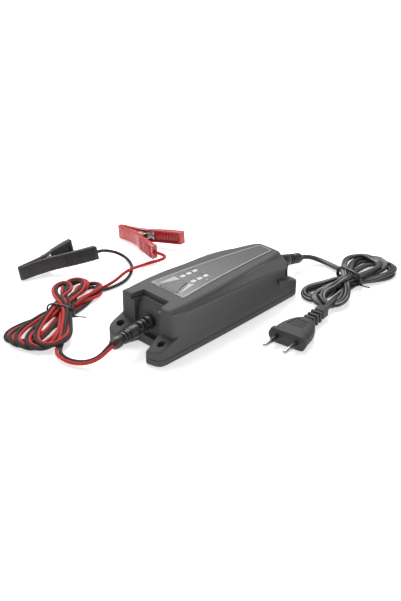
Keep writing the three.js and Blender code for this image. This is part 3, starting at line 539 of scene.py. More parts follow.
def metal(finish: MetalFinish) -> bpy.types.Material:
    """Material for a metal surface.

    Args:
        finish: Colours, gloss and direction of the brushing.

    Returns:
        The material, made once for each finish.
    """
    known = bpy.data.materials.get(finish.name)
    if known:
        return known
    material = bpy.data.materials.new(finish.name)
    material.use_nodes = True
    tree = material.node_tree
    tree.nodes.clear()
    result = tree.nodes.new("ShaderNodeOutputMaterial")
    result.label = "finished surface"
    shader = tree.nodes.new("ShaderNodeBsdfPrincipled")
    shader.label = f"{finish.name} surface"
    place = tree.nodes.new("ShaderNodeTexCoord")
    place.label = "place on the piece"
    stretch = tree.nodes.new("ShaderNodeMapping")
    stretch.label = "draws the lines out"
    lines = tree.nodes.new("ShaderNodeTexNoise")
    lines.label = "brushed lines"
    tint = tree.nodes.new("ShaderNodeValToRGB")
    tint.label = "bright to dull metal"
    gloss = tree.nodes.new("ShaderNodeMapRange")
    gloss.label = "gloss from lines"
    relief = tree.nodes.new("ShaderNodeBump")
    relief.label = "line relief"
    stretch.inputs["Scale"].default_value = finish.stretch
    lines.inputs["Scale"].default_value = 1.0
    lines.inputs["Detail"].default_value = 3.0
    tint.color_ramp.elements[0].position = 0.3
    tint.color_ramp.elements[0].color = (*finish.dull, 1)
    tint.color_ramp.elements[1].position = 0.65
    tint.color_ramp.elements[1].color = (*finish.colour, 1)
    gloss.inputs["To Min"].default_value = finish.roughness[1]
    gloss.inputs["To Max"].default_value = finish.roughness[0]
    relief.inputs["Strength"].default_value = 0.08
    relief.inputs["Distance"].default_value = 0.0001
    shader.inputs["Metallic"].default_value = 1.0
    tree.links.new(place.outputs["Object"], stretch.inputs["Vector"])
    tree.links.new(stretch.outputs["Vector"], lines.inputs["Vector"])
    tree.links.new(lines.outputs["Fac"], tint.inputs["Fac"])
    tree.links.new(tint.outputs["Color"], shader.inputs["Base Color"])
    tree.links.new(lines.outputs["Fac"], gloss.inputs["Value"])
    tree.links.new(gloss.outputs["Result"], shader.inputs["Roughness"])
    tree.links.new(lines.outputs["Fac"], relief.inputs["Height"])
    tree.links.new(relief.outputs["Normal"], shader.inputs["Normal"])
    tree.links.new(shader.outputs["BSDF"], result.inputs["Surface"])
    groups = {
        "lines": [place, stretch, lines], "colour": [tint], "gloss": [gloss, relief],
        "surface": [shader, result],
    }
    arrange(tree, groups)
    return material


# ---------------------------------------------------------------- rows of repeated shapes


class RowShape(Enum):
    """Shape that a row repeats."""

    BLOCK = "GeometryNodeMeshCube"
    ROD = "GeometryNodeMeshCylinder"


def row_tree(shape: RowShape) -> bpy.types.NodeTree:
    """Geometry Nodes tree that repeats a block or a rod along a straight row.

    Args:
        shape: Which shape is repeated.

    Returns:
        The tree, made once for each shape.
    """
    name = f"row_of_{shape.name.lower()}s"
    known = bpy.data.node_groups.get(name)
    if known:
        return known
    tree = bpy.data.node_groups.new(name, "GeometryNodeTree")
    tree.interface.new_socket("Geometry", in_out="INPUT", socket_type="NodeSocketGeometry")
    tree.interface.new_socket("Count", in_out="INPUT", socket_type="NodeSocketInt")
    tree.interface.new_socket("Start", in_out="INPUT", socket_type="NodeSocketVector")
    tree.interface.new_socket("Step", in_out="INPUT", socket_type="NodeSocketVector")
    tree.interface.new_socket("Size", in_out="INPUT", socket_type="NodeSocketVector")
    tree.interface.new_socket("Turn", in_out="INPUT", socket_type="NodeSocketRotation")
    tree.interface.new_socket("Finish", in_out="INPUT", socket_type="NodeSocketMaterial")
    tree.interface.new_socket("Geometry", in_out="OUTPUT", socket_type="NodeSocketGeometry")
    source = tree.nodes.new("NodeGroupInput")
    source.label = "sizes of the row"
    row = tree.nodes.new("GeometryNodeMeshLine")
    row.label = "places along the row"
    row.mode = "OFFSET"
    item = tree.nodes.new(shape.value)
    item.label = "one of the row"
    spread = tree.nodes.new("GeometryNodeInstanceOnPoints")
    spread.label = "one at each place"
    real = tree.nodes.new("GeometryNodeRealizeInstances")
    real.label = "row as one mesh"
    paint = tree.nodes.new("GeometryNodeSetMaterial")
    paint.label = "finish of the row"
    result = tree.nodes.new("NodeGroupOutput")
    result.label = "finished row"
    tree.links.new(source.outputs["Count"], row.inputs["Count"])
    tree.links.new(source.outputs["Start"], row.inputs["Start Location"])
    tree.links.new(source.outputs["Step"], row.inputs["Offset"])
    if shape is RowShape.BLOCK:
        tree.links.new(source.outputs["Size"], item.inputs["Size"])
    else:
        parts = tree.nodes.new("ShaderNodeSeparateXYZ")
        parts.label = "radius and length"
        item.inputs["Vertices"].default_value = 20
        tree.links.new(source.outputs["Size"], parts.inputs["Vector"])
        tree.links.new(parts.outputs["X"], item.inputs["Radius"])
        tree.links.new(parts.outputs["Z"], item.inputs["Depth"])
    tree.links.new(row.outputs["Mesh"], spread.inputs["Points"])
    tree.links.new(item.outputs["Mesh"], spread.inputs["Instance"])
    tree.links.new(source.outputs["Turn"], spread.inputs["Rotation"])
    tree.links.new(spread.outputs["Instances"], real.inputs["Geometry"])
    tree.links.new(real.outputs["Geometry"], paint.inputs["Geometry"])
    tree.links.new(source.outputs["Finish"], paint.inputs["Material"])
    tree.links.new(paint.outputs["Geometry"], result.inputs["Geometry"])
    groups = {"row": [source, row, item], "copies": [spread, real], "finish": [paint, result]}
    if shape is RowShape.ROD:
        groups["rod"] = [parts]
    arrange(tree, groups)
    return tree


@dataclass
class Row:
    """A straight row of equal blocks or rods, made by Geometry Nodes."""

    name: str
    shape: RowShape
    count: int
    start: Point
    step: Point
    size: Point
    turn: Point = (0.0, 0.0, 0.0)
    bevel: float = 0.2

    def build(self, material: bpy.types.Material, matrix: Matrix) -> bpy.types.Object:
        """Makes the row as one plain mesh.

        Args:
            material: Finish of the row.
            matrix: Place of the row in millimetres.

        Returns:
            The object.
        """
        mesh = bpy.data.meshes.new(self.name)
        obj = bpy.data.objects.new(self.name, mesh)
        bpy.context.scene.collection.objects.link(obj)
        modifier = obj.modifiers.new("row", "NODES")
        tree = row_tree(self.shape)
        modifier.node_group = tree
        values = {
            "Count": self.count,
            "Start": [c * MM for c in self.start],
            "Step": [c * MM for c in self.step],
            "Size": [c * MM for c in self.size],
            "Turn": [math.radians(c) for c in self.turn],
            "Finish": material,
        }
        for item in tree.interface.items_tree:
            if item.in_out == "INPUT" and item.name in values:
                modifier[item.identifier] = values[item.name]
        edge = obj.modifiers.new("edge", "BEVEL")
        edge.width = self.bevel * MM
        edge.segments = 2
        edge.limit_method = "ANGLE"
        edge.angle_limit = math.radians(50)
        settle_modifiers(obj)
        move_mesh(obj, matrix)
        shade(obj, 35)
        return obj


def joined(name: str, rows: Sequence[Row], material: bpy.types.Material, matrix: Matrix) -> bpy.types.Object:
    """Several rows made as one piece.

    Args:
        name: Name of the piece.
        rows: The rows.
        material: Their finish.
        matrix: Their place in millimetres.

    Returns:
        The object.
    """
    work = bmesh.new()
    for row in rows:
        made = row.build(material, matrix)
        work.from_mesh(made.data)
        bpy.data.objects.remove(made)
    mesh = bpy.data.meshes.new(name)
    work.to_mesh(mesh)
    work.free()
    obj = bpy.data.objects.new(name, mesh)
    bpy.context.scene.collection.objects.link(obj)
    shade(obj, 35)
    return obj


# ---------------------------------------------------------------- cords

SMOOTHING = 34.0
FLOOR_GAP = 0.05


def rope_tube(
    name: str, centre: np.ndarray, side: np.ndarray, section: np.ndarray, step: float
) -> tuple[bpy.types.Object, np.ndarray]:
    """Closed tube of a fixed section along a line.

    Args:
        name: Name of the piece.
        centre: Centre line in millimetres.
        side: Direction of the section's first axis at each point.
        section: Outline of the section, as offsets along side and across it.
        step: Distance between rings.

    Returns:
        The object and the line that it follows.
    """
    gaps = np.linalg.norm(np.diff(centre, axis=0), axis=1)
    along = np.concatenate([[0], np.cumsum(gaps)])
    wanted = np.linspace(0, along[-1], int(round(along[-1] / step)) + 1)
    both = np.stack([np.interp(wanted, along, grid[:, k]) for grid in (centre, side) for k in range(3)], 1)
    both = eased(both, int(SMOOTHING / step**2))
    line, side = both[:, :3], both[:, 3:]
    tangent = np.gradient(line, axis=0)
    tangent /= np.linalg.norm(tangent, axis=1, keepdims=True)
    side = side - tangent * (side * tangent).sum(1, keepdims=True)
    side /= np.maximum(np.linalg.norm(side, axis=1, keepdims=True), 1e-9)
    across = np.cross(tangent, side)
    rings = [
        at + np.outer(section[:, 0], first) + np.outer(section[:, 1], second)
        for at, first, second in zip(line, side, across)
    ]
    verts, faces = ring_mesh(rings)
    verts[:, 2] = np.maximum(verts[:, 2], FLOOR_GAP)
    return new_object(name, verts, faces, 60), line


def circle_section(radius: float, sides: int) -> np.ndarray:
    """Round section."""
    angles = np.linspace(0, 2 * math.pi, sides, endpoint=False)
    return radius * np.column_stack([np.cos(angles), np.sin(angles)])


def flex_section(width: float, thick: float, sides: int) -> np.ndarray:
    """Section of a flat two-core flex: two round lobes with a shallow groove between.

    Args:
        width: Whole width.
        thick: Thickness of a lobe.
        sides: Number of points.

    Returns:
        Outline with the width along the first axis.
    """
    angles = np.linspace(0, 2 * math.pi, sides, endpoint=False)
    x = np.cos(angles) * width / 2
    inner = width / 2 - thick / 2
    reach = np.maximum(np.abs(x) - inner, 0) / (thick / 2)
    waist = 0.5 * thick * np.sqrt(np.maximum(1 - reach**2, 0))
    groove = 0.16 * thick * np.exp(-((x / (0.16 * width)) ** 2))
    return np.column_stack([x, np.sign(np.sin(angles)) * np.maximum(waist - groove, 0)])


def declare_cord(
    obj: bpy.types.Object, path: np.ndarray,
) -> None:
    """Logs the real length of a cord.

    Args:
        obj: The cord's mesh.
        path: Line that it follows, in millimetres.
    """
    LOG.info("%s is %.3f m long", obj.name, line_length(path) * MM)


@dataclass
class Loop:
    """One loop of a hank: its heading off the hank's axis, its length and half width."""

    angle: float
    length: float
    half_width: float


@dataclass
class Hank:
    """A cord folded back and forth through a tie, as a pair of chains that are let settle.

    The loops of first lie on the side that first_sign names and those of second on the other,
    turn by turn. The entry and leave points are where the cord comes in and goes out.
    """

    centre: Point
    angle: float
    first: list[Loop]
    second: list[Loop]
    first_sign: int
    entry: list[Point]
    leave: list[Point]
    waist_half: float
    waist_top: float
    spacing: float
    thick: float
    step: float = 3.0
    rounds: int = 170
    slots: Sequence[float] = (6, -7, 2, -3, 8, -8, 4, -1, 7, -4, 1, -6)
    slot_reach: float = 11.0
    tip_low: float = 2.0
    tip_rise: float = 0.9
    pull_home: float = 0.025
    sag: float = 0.02
    near_stiffness: float = 0.16
    far_stiffness: float = 0.05
    stretch_share: float = 0.4
    clearance: float = 1.03
    waist_flare: float = 1.6

    def world(self, u: float, v: float, z: float) -> list[float]:
        """Point of the hank's own plan in the frame of the design."""
        a = math.radians(self.angle)
        return [
            self.centre[0] + u * math.cos(a) - v * math.sin(a),
            self.centre[1] + u * math.sin(a) + v * math.cos(a),
            z,
        ]

    def plan(self) -> np.ndarray:
        """Rule-made centre line through every loop, before it settles."""
        points = [list(p) for p in self.entry]
        count = len(self.first)
        total = 2 * count
        gate = self.entry_gate()
        for i in range(total):
            loop = (self.first if i % 2 == 0 else self.second)[i // 2]
            toward = self.first_sign if i % 2 == 0 else -self.first_sign
            share = (i + 1) / total
            slot_v = self.slots[i % len(self.slots)] * self.waist_half / self.slot_reach
            slot_z = self.waist_top - (self.waist_top - self.thick * 0.6) * share
            out = (0.0, slot_v, slot_z)
            tip_z = self.tip_low + self.tip_rise * (total - i) / 2
            points += self.loop_points(loop, toward, gate, out, tip_z)
            gate = out
        points += [list(p) for p in self.leave]
        return np.array(points)

    def entry_gate(self) -> tuple[float, float, float]:
        """Place in the tie where the cord first passes it."""
        return (0.0, self.slots[-1] * self.waist_half / self.slot_reach, self.waist_top)

    def loop_points(
        self, loop: Loop, toward: int, gate: Point, out: Point, tip_z: float
    ) -> list[list[float]]:
        """Points of one teardrop loop.

        Args:
            loop: Its heading and size.
            toward: 1 for the far end of the hank, -1 for the near end.
            gate: Where it leaves the tie.
            out: Where it comes back to the tie.
            tip_z: Height of its far end.

        Returns:
            Points in the frame of the design.
        """
        a = math.radians(loop.angle)
        along = (toward * math.cos(a), math.sin(a))
        across = (-along[1], along[0])
        made = []
        steps = int(2.3 * loop.length / self.step)
        for t in np.linspace(0, 1, steps)[:-1]:
            swell = math.sin(math.pi * t) ** 0.85
            offset = toward * loop.half_width * math.sin(2 * math.pi * t)
            u = gate[0] + (out[0] - gate[0]) * t + along[0] * loop.length * swell + across[0] * offset
            v = gate[1] + (out[1] - gate[1]) * t + along[1] * loop.length * swell + across[1] * offset
            z = (gate[2] + (out[2] - gate[2]) * t) * (1 - swell) + tip_z * swell
            made.append(self.world(u, v, z))
        return made

    def settled(self) -> np.ndarray:
        """Pair of chains after they have been pressed apart and laid on the floor.

        Returns:
            Array of points, chain and coordinate.
        """
        middle = even_steps(catmull(self.plan(), 3), self.step)
        tangent = np.gradient(middle, axis=0)
        side = np.cross([0.0, 0.0, 1.0], tangent)
        side /= np.maximum(np.linalg.norm(side, axis=1, keepdims=True), 1e-6)
        for _ in range(3):
            side[1:-1] = (side[:-2] + 2 * side[1:-1] + side[2:]) / 4
            side /= np.maximum(np.linalg.norm(side, axis=1, keepdims=True), 1e-6)
        pair = np.stack([middle + side * self.spacing / 2, middle - side * self.spacing / 2], 1)
        start = pair.copy()
        number = np.repeat(np.arange(len(middle)), 2)
        apart = np.abs(number[:, None] - number[None, :]) > max(3, int(2.2 * self.thick / self.step))
        fixed = np.zeros(len(middle), bool)
        fixed[: len(self.entry) * 2] = True
        fixed[-6:] = True
        rest = np.linalg.norm(np.diff(middle, axis=0), axis=1)
        a = math.radians(self.angle)
        for _ in range(self.rounds):
            pair += self.pull_home * (start - pair)
            pair[..., 2] -= self.sag
            pair[1:-1] += self.near_stiffness * ((pair[:-2] + pair[2:]) / 2 - pair[1:-1])
            pair[2:-2] += self.far_stiffness * ((pair[:-4] + pair[4:]) / 2 - pair[2:-2])
            for parity in (0, 1):
                gap = pair[parity + 1 :: 2] - pair[parity:-1:2]
                size = np.linalg.norm(gap, axis=-1, keepdims=True)
                wanted = rest[parity::2][: len(gap), None, None]
                shift = self.stretch_share * (size - wanted) / np.maximum(size, 1e-6) * gap
                pair[parity:-1:2] += shift
                pair[parity + 1 :: 2] -= shift
            rung = pair[:, 1] - pair[:, 0]
            size = np.linalg.norm(rung, axis=-1, keepdims=True)
            shift = 0.5 * (size - self.spacing) / np.maximum(size, 1e-6) * rung
            pair[:, 0] += shift
            pair[:, 1] -= shift
            flat = pair.reshape(-1, 3)
            gap = flat[:, None, :] - flat[None, :, :]
            far = np.sqrt((gap**2).sum(-1)) + 1e-6
            reach = self.thick * self.clearance
            close = apart & (far < reach)
            push = np.where(close, (reach - far) / far * 0.5, 0.0)
            crowd = np.maximum(close.sum(1, keepdims=True), 1)
            flat += (gap * push[..., None]).sum(1) / np.sqrt(crowd)
            pair = flat.reshape(pair.shape)
            self.hold_waist(pair, a)
            pair[..., 2] = np.maximum(pair[..., 2], self.thick / 2 + 0.15)
            pair[fixed] = start[fixed]
        return pair

    def hold_waist(self, pair: np.ndarray, a: float) -> None:
        """Keeps the cord inside the tie where it passes it, and under it elsewhere.

        Args:
            pair: The two chains, changed in place.
            a: Heading of the hank in radians.
        """
        x = pair[..., 0] - self.centre[0]
        y = pair[..., 1] - self.centre[1]
        u = x * math.cos(a) + y * math.sin(a)
        v = -x * math.sin(a) + y * math.cos(a)
        limit = self.waist_half + np.maximum(np.abs(u) - 4, 0) * self.waist_flare
        v = np.clip(v, -limit, limit)
        pair[..., 0] = self.centre[0] + u * math.cos(a) - v * math.sin(a)
        pair[..., 1] = self.centre[1] + u * math.sin(a) + v * math.cos(a)
        pair[..., 2] = np.minimum(pair[..., 2], self.waist_top + 1.0)


# ---------------------------------------------------------------- clamps


def refined(
    node: str, name: str, material: bpy.types.Material, body: str, sharp: float = 30
) -> None:
    """Smooth-shaded copy of a CAD node.

    Args:
        node: CAD node to copy.
        name: Name of the copy.
        material: Its material.
        body: Body that it moves with.
        sharp: Edges that turn more than this stay sharp.
    """
    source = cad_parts[node]
    mesh = source.data.copy()
    mesh.materials.clear()
    obj = bpy.data.objects.new(name, mesh)
    bpy.context.scene.collection.objects.link(obj)
    clean(obj, sharp)
    register(obj, body, material, [node])


@dataclass
class Clamp:
    """A spring clamp lying on its side, nose at its own origin and handles along X."""

    name: str
    nose: tuple[float, float]
    turn: tuple[float, float, float]
    shell: MouldedFinish
    length: float = 69.0
    height: float = 12.6
    handle_slope: float = 0.405
    rib_start: float = 41.0
    rib_gap: float = 2.1

    def matrix(self) -> Matrix:
        """Place of the clamp in the frame of the design."""
        turned_only = turn_matrix(*self.turn, (0, 0, 0))
        end = self.length
        corners = [(0, -1.5), (0, 1.5), (end, -25), (end, 25), (4, -3.3), (4, 3.3)]
        lowest = min((turned_only @ Vector((x, y, 0))).z for x, y in corners)
        return turn_matrix(*self.turn, (*self.nose, 0.2 - lowest))

    def point(self, x: float, y: float, z: float) -> list[float]:
        """Point of the clamp in the frame of the design."""
        return list(self.matrix() @ Vector((x, y, z)))

    def wire_end(self) -> list[list[float]]:
        """Last points of the lead that goes into the fixed handle."""
        middle = self.height / 2
        return [
            self.point(self.length + 4, -21.6, middle),
            self.point(self.length + 1, -21.4, middle),
            self.point(self.length - 1.8, -21.4, middle),
            self.point(self.length - 6, -19.6, middle),
            self.point(52, -14.9, middle),
            self.point(42, -10.9, middle),
        ]

    def grip(self, name: str, sign: int, body: str, slot: str, last: float) -> None:
        """Makes the grip ribs, the channel's web and the raised panel of one half.

        Args:
            name: Name of the half.
            sign: Side of the clamp's middle on which the half lies.
            body: Body that it moves with.
            slot: Not used.
            last: Where the ribs stop along the handle.
        """
        shell, mid = moulded(self.shell), self.height / 2
        first, gap = self.rib_start, self.rib_gap
        count = int((last - first) / gap) + 1
        step = (gap, sign * gap * self.handle_slope, 0)
        tilt = (0.0, 0.0, sign * math.degrees(math.atan(self.handle_slope)))
        block = RowShape.BLOCK
        rows = [
            Row("ribs", block, count, (first, sign * 12.9, mid), step, (1.1, 1.5, 13.1), tilt, 0.25),
            Row("lines", block, count, (first, sign * 10.4, mid), step, (0.9, 1.6, 11.2), tilt, 0.2),
            Row("web", block, 1, (51.5, sign * 15.4, mid), step, (25, 1.2, 11.4), tilt, 0.2),
            Row("panel", block, 1, (11.5, sign * 3.5, mid), step, (9, 0.9, 7), (0, 0, sign * 4.8), 0.3),
            Row("step", block, 2, (27.2, sign * 6.3, mid), (1.6, sign * 0.62, 0), (0.7, 1.1, 13.0),
                (0, 0, sign * 19.0), 0.2),
        ]
        if sign < 0:
            rows = [row for row in rows if row.name not in ("web", "lines")]
        register(joined(f"{name}_grip", rows, shell, self.matrix()), body, shell)

    def build(self) -> None:
        """Makes the shells, grip ribs, jaws, pin and spring."""
        shell, steel, wire = moulded(self.shell), metal(STEEL), metal(SPRING)
        slot = f"clamp_{self.name.removesuffix('_clamp')}"
        arm = f"{self.name}_arm"
        refined(f"{self.name}_fixed_shell", f"{self.name}_wire_half", shell, CHARGER)
        refined(f"{self.name}_moving_shell", f"{self.name}_free_half", shell, arm)
        for sign, part, body, last in ((-1, "wire_half", CHARGER, 65.0), (1, "free_half", arm, 61.0)):
            self.grip(f"{self.name}_{part}", sign, body, slot, last)
        for node, part, body, metal_part, sharp in (
            ("fixed_jaw", "wire_jaw", CHARGER, steel, 30), ("moving_jaw", "free_jaw", arm, steel, 30),
            ("pivot_pin", "pivot", CHARGER, steel, 30), ("spring", "coil", CHARGER, wire, 60),
            ("spring_arm", "coil_leg", arm, wire, 60),
        ):
            refined(f"{self.name}_{node}", f"{self.name}_{part}", metal_part, body, sharp)


RED_CLAMP = Clamp("red_clamp", (52.5, 166.6), (-88, -6, -2), CLAMP_RED)
BLACK_CLAMP = Clamp("black_clamp", (-70, 164.5), (-10, -5, -11), CLAMP_BLACK)


# ---------------------------------------------------------------- strain reliefs


@dataclass
class Relief:
    """Ribbed strain relief at one end of the charger."""

    name: str
    sign: int
    wall_x: float
    height: float
    drop: float
    length: float = 42.0

    def matrix(self) -> Matrix:
        """Place of the relief, whose own axis is +X from the wall."""
        return turn_matrix(180 if self.sign < 0 else 0, self.drop, 0, (self.wall_x, 0, self.height))

    def tip(self, beyond: float) -> list[float]:
        """Point on its axis, measured from its tip."""
        return list(self.matrix() @ Vector((self.length + beyond, 0, 0)))

    def profile(self) -> list[Point]:
        """Radius and distance from the wall along the sleeve."""
        return [
            (0.001, -3), (4.8, -3), (4.8, 2.0), (6.1, 2.2), (6.3, 2.5), (6.3, 5.5), (6.1, 5.8), (4.3, 5.9),
            (4.3, 13.9), (4.4, 15.4), (5.5, 15.7), (5.7, 16.1), (5.45, 23.8), (5.2, 24.2), (4.0, 24.3),
            (3.9, 32.8), (4.3, 33.2), (4.9, 35.4), (5.0, 36), (5.0, 39.4), (4.8, 40.2), (4.2, self.length),
            (2.2, self.length), (0.001, self.length - 0.4),
        ]

    def build(self) -> None:
        """Makes the turned sleeve, and its ribs with the bridges between them."""
        rubber = moulded(RELIEF_RUBBER)
        verts, faces = turned(self.profile(), 48)
        verts = placed(verts[:, [2, 0, 1]], self.matrix())
        sleeve = new_object(f"{self.name}_sleeve", verts, faces, 35)
        register(sleeve, CHARGER, rubber, [self.name])
        rod, block = RowShape.ROD, RowShape.BLOCK
        rows = (
            Row("ribs", rod, 2, (8.7, 0, 0), (4.0, 0, 0), (6.0, 0, 2.3), (0, 90, 0), 0.4),
            Row("rings", rod, 2, (26.9, 0, 0), (3.5, 0, 0), (5.15, 0, 2.0), (0, 90, 0), 0.35),
            Row("bridges", block, 2, (6.7, 0, 0), (8.0, 0, 0), (2.0, 11.4, 4.4), bevel=0.3),
            Row("webs", block, 2, (10.7, 0, 0), (14.4, 0, 0), (2.0, 4.4, 10.6), bevel=0.3),
        )
        ribs = joined(f"{self.name}_ribs", rows, rubber, self.matrix())
        register(ribs, CHARGER, rubber)


FRONT_RELIEF = Relief("front_strain_relief", -1, -64.8, 23.4, 6.5)
REAR_RELIEF = Relief("rear_strain_relief", 1, 83.0, 20.5, 14.0)


# ---------------------------------------------------------------- leads


@dataclass
class OutputLead:
    """Red and black cores side by side from the charger through a hank, then one to each clamp."""

    core: float = 3.0
    hank: Hank = field(init=False)
    made: list = field(default_factory=list)

    def __post_init__(self) -> None:
        """Sets out the hank between the route from the charger and the place where the cores part."""
        self.hank = Hank(
            centre=(-88, 87),
            angle=26,
            first=[Loop(22, 52, 11), Loop(12, 62, 12), Loop(5, 64, 12), Loop(-4, 64, 13), Loop(-11, 60, 13)],
            second=[Loop(-13, 57, 11), Loop(-3, 60, 12), Loop(7, 59, 12), Loop(16, 58, 12), Loop(24, 57, 11)],
            first_sign=1,
            entry=self.from_charger(),
            leave=[],
            waist_half=10.5,
            waist_top=11.8,
            spacing=self.core,
            thick=self.core,
        )
        self.hank.entry += [
            self.hank.world(*at)
            for at in ((-51, -21.5, 4), (-42, -19.5, 5.5), (-30, -16, 8), (-18, -12.5, 10.5), (-8, -9.5, 12))
        ]
        self.hank.leave = [
            self.hank.world(*at)
            for at in (
                (4, -6, 2), (15, -9, 1.8), (28, -11, 1.8), (38, -12, 1.8), (46, -12, 1.9), (51, -11.8, 2),
            )
        ]

    @staticmethod
    def from_charger() -> list[list[float]]:
        """Route from the strain relief to the hank."""
        return [
            FRONT_RELIEF.tip(0.3), FRONT_RELIEF.tip(3.5), [-114.6, 2.6, 12.4], [-118, 5.4, 9],
            [-121.4, 9.8, 5.8], [-124.8, 14.6, 3.9], [-128.4, 20, 3.5], [-130.8, 27, 3.4],
            [-130.4, 35, 3.4], [-128.2, 43.3, 3.4],
        ]

    @staticmethod
    def to_red() -> list[list[float]]:
        """Route of the red core from the parting to its clamp."""
        return [
            [-30.3, 98.9, 2], [-23, 98.9, 2.4], [-15.5, 98.9, 3.2], [-7, 100.5, 4.4], [0.5, 101.8, 5.2],
            [8, 102.5, 5.2], [20, 103.9, 3], [28, 104.3, 1.9], [35, 103.4, 1.8], [40.5, 100.6, 2.2],
            [43.6, 96.2, 4.4], [42.8, 92.6, 8.2], [38.4, 91.2, 12.2], *RED_CLAMP.wire_end(),
        ]

    @staticmethod
    def to_black() -> list[list[float]]:
        """Route of the black core from the parting to its clamp."""
        return [
            [-30, 94.6, 1.8], [-23.2, 93.8, 1.8], [-15.5, 93.3, 1.8], [-7.5, 94.2, 1.8], [0.8, 97.9, 1.8],
            [9.6, 104, 1.8], [16.6, 110.9, 1.8], [20.8, 118.1, 1.9], [22.8, 124.6, 2.5], [22.4, 130.2, 4.2],
            [18.2, 134.2, 7.2], [11, 135.4, 10.8], [4, 134, 14.4], *BLACK_CLAMP.wire_end(),
        ]

    def build(self) -> None:
        """Makes both cores, whose lengths declare() logs once their pieces exist."""
        pair = self.hank.settled()
        jobs = (
            ("red_core", 0, self.to_red(), WIRE_RED, "wire_red", RED_CLAMP),
            ("black_core", 1, self.to_black(), WIRE_BLACK, "wire_black", BLACK_CLAMP),
        )
        for name, chain, tail, finish, slot, clamp in jobs:
            line = np.vstack([pair[:, chain], np.array(tail)])
            fine = catmull(line, 4)
            other = catmull(pair[:, 1 - chain], 4)
            side = np.zeros_like(fine)
            side[: len(other) - 1] = other[:-1] - fine[: len(other) - 1]
            side[len(other) - 1 :] = (0, 0, 1)
            obj, path = rope_tube(name, fine, side, circle_section(self.core / 2 - 0.02, 12), 1.1)
            nodes = ["output_lead", "output_hank", "red_lead"] if chain == 0 else ["black_lead"]
            register(obj, CHARGER, moulded(finish), nodes)
            self.made.append((obj, path, clamp.name))

    def declare(self) -> None:
        """Logs the length of each core."""
        for obj, path, clamp in self.made:
            on_it = pieces_named(clamp)
            if clamp == RED_CLAMP.name:
                on_it += pieces_named("front_strain_relief", "output_tie")
            declare_cord(obj, path)


@dataclass
class MainsLead:
    """Flat two-core lead from the charger through a hank to the plug."""

    width: float = 5.8
    thick: float = 3.4
    hank: Hank = field(init=False)
    made: list = field(default_factory=list)

    def __post_init__(self) -> None:
        """Sets out the hank between the charger and the plug's boot."""
        self.hank = Hank(
            centre=(131, -52),
            angle=-2,
            first=[Loop(-20, 53, 15), Loop(-8, 55, 15), Loop(4, 53, 15), Loop(12, 50, 14)],
            second=[Loop(18, 49, 14), Loop(9, 53, 15), Loop(-2, 54, 15), Loop(-11, 51, 15)],
            first_sign=-1,
            entry=self.from_charger(),
            leave=[],
            waist_half=11.5,
            waist_top=12.4,
            spacing=self.width - self.thick,
            thick=self.thick,
        )
        self.hank.entry += [
            self.hank.world(*at) for at in ((9.5, 17, 4.5), (6.5, 12.5, 6.5), (2, 9.5, 8.5))
        ]
        self.hank.leave = [
            self.hank.world(*at)
            for at in ((-6, -5, 3), (-16, -9, 4), (-28, -13.5, 5), (-38, -16.5, 6), (-45, -18, 6.6))
        ] + [[80.6, -69.6, 6.9], [76, -71, 7], PLUG.point(63, 0, 0), PLUG.point(60.3, 0, 0)]

    @staticmethod
    def from_charger() -> list[list[float]]:
        """Route from the rear strain relief to the hank."""
        return [
            REAR_RELIEF.tip(0.3), REAR_RELIEF.tip(3.5), [132.4, 0, 8.4], [136.8, -1.2, 7], [140.4, -4, 5.4],
            [143, -8.4, 4], [144.4, -14.3, 3.2], [144.2, -20.1, 3.2], [142.9, -26, 3.4], [141.6, -29.8, 3.8],
        ]

    def build(self) -> None:
        """Makes the lead, whose length declare() logs once its pieces exist."""
        pair = self.hank.settled()
        middle = catmull(pair.mean(1), 3)
        side = catmull(pair[:, 0] - pair[:, 1], 3)
        obj, path = rope_tube("mains_flex", middle, side, flex_section(self.width, self.thick, 24), 1.4)
        nodes = ["mains_lead_a", "mains_lead_b", "mains_hank"]
        register(obj, CHARGER, moulded(MAINS_SHEATH), nodes)
        self.made.append((obj, path))

    def declare(self) -> None:
        obj, path = self.made[0]
        declare_cord(obj, path)


# ---------------------------------------------------------------- plug


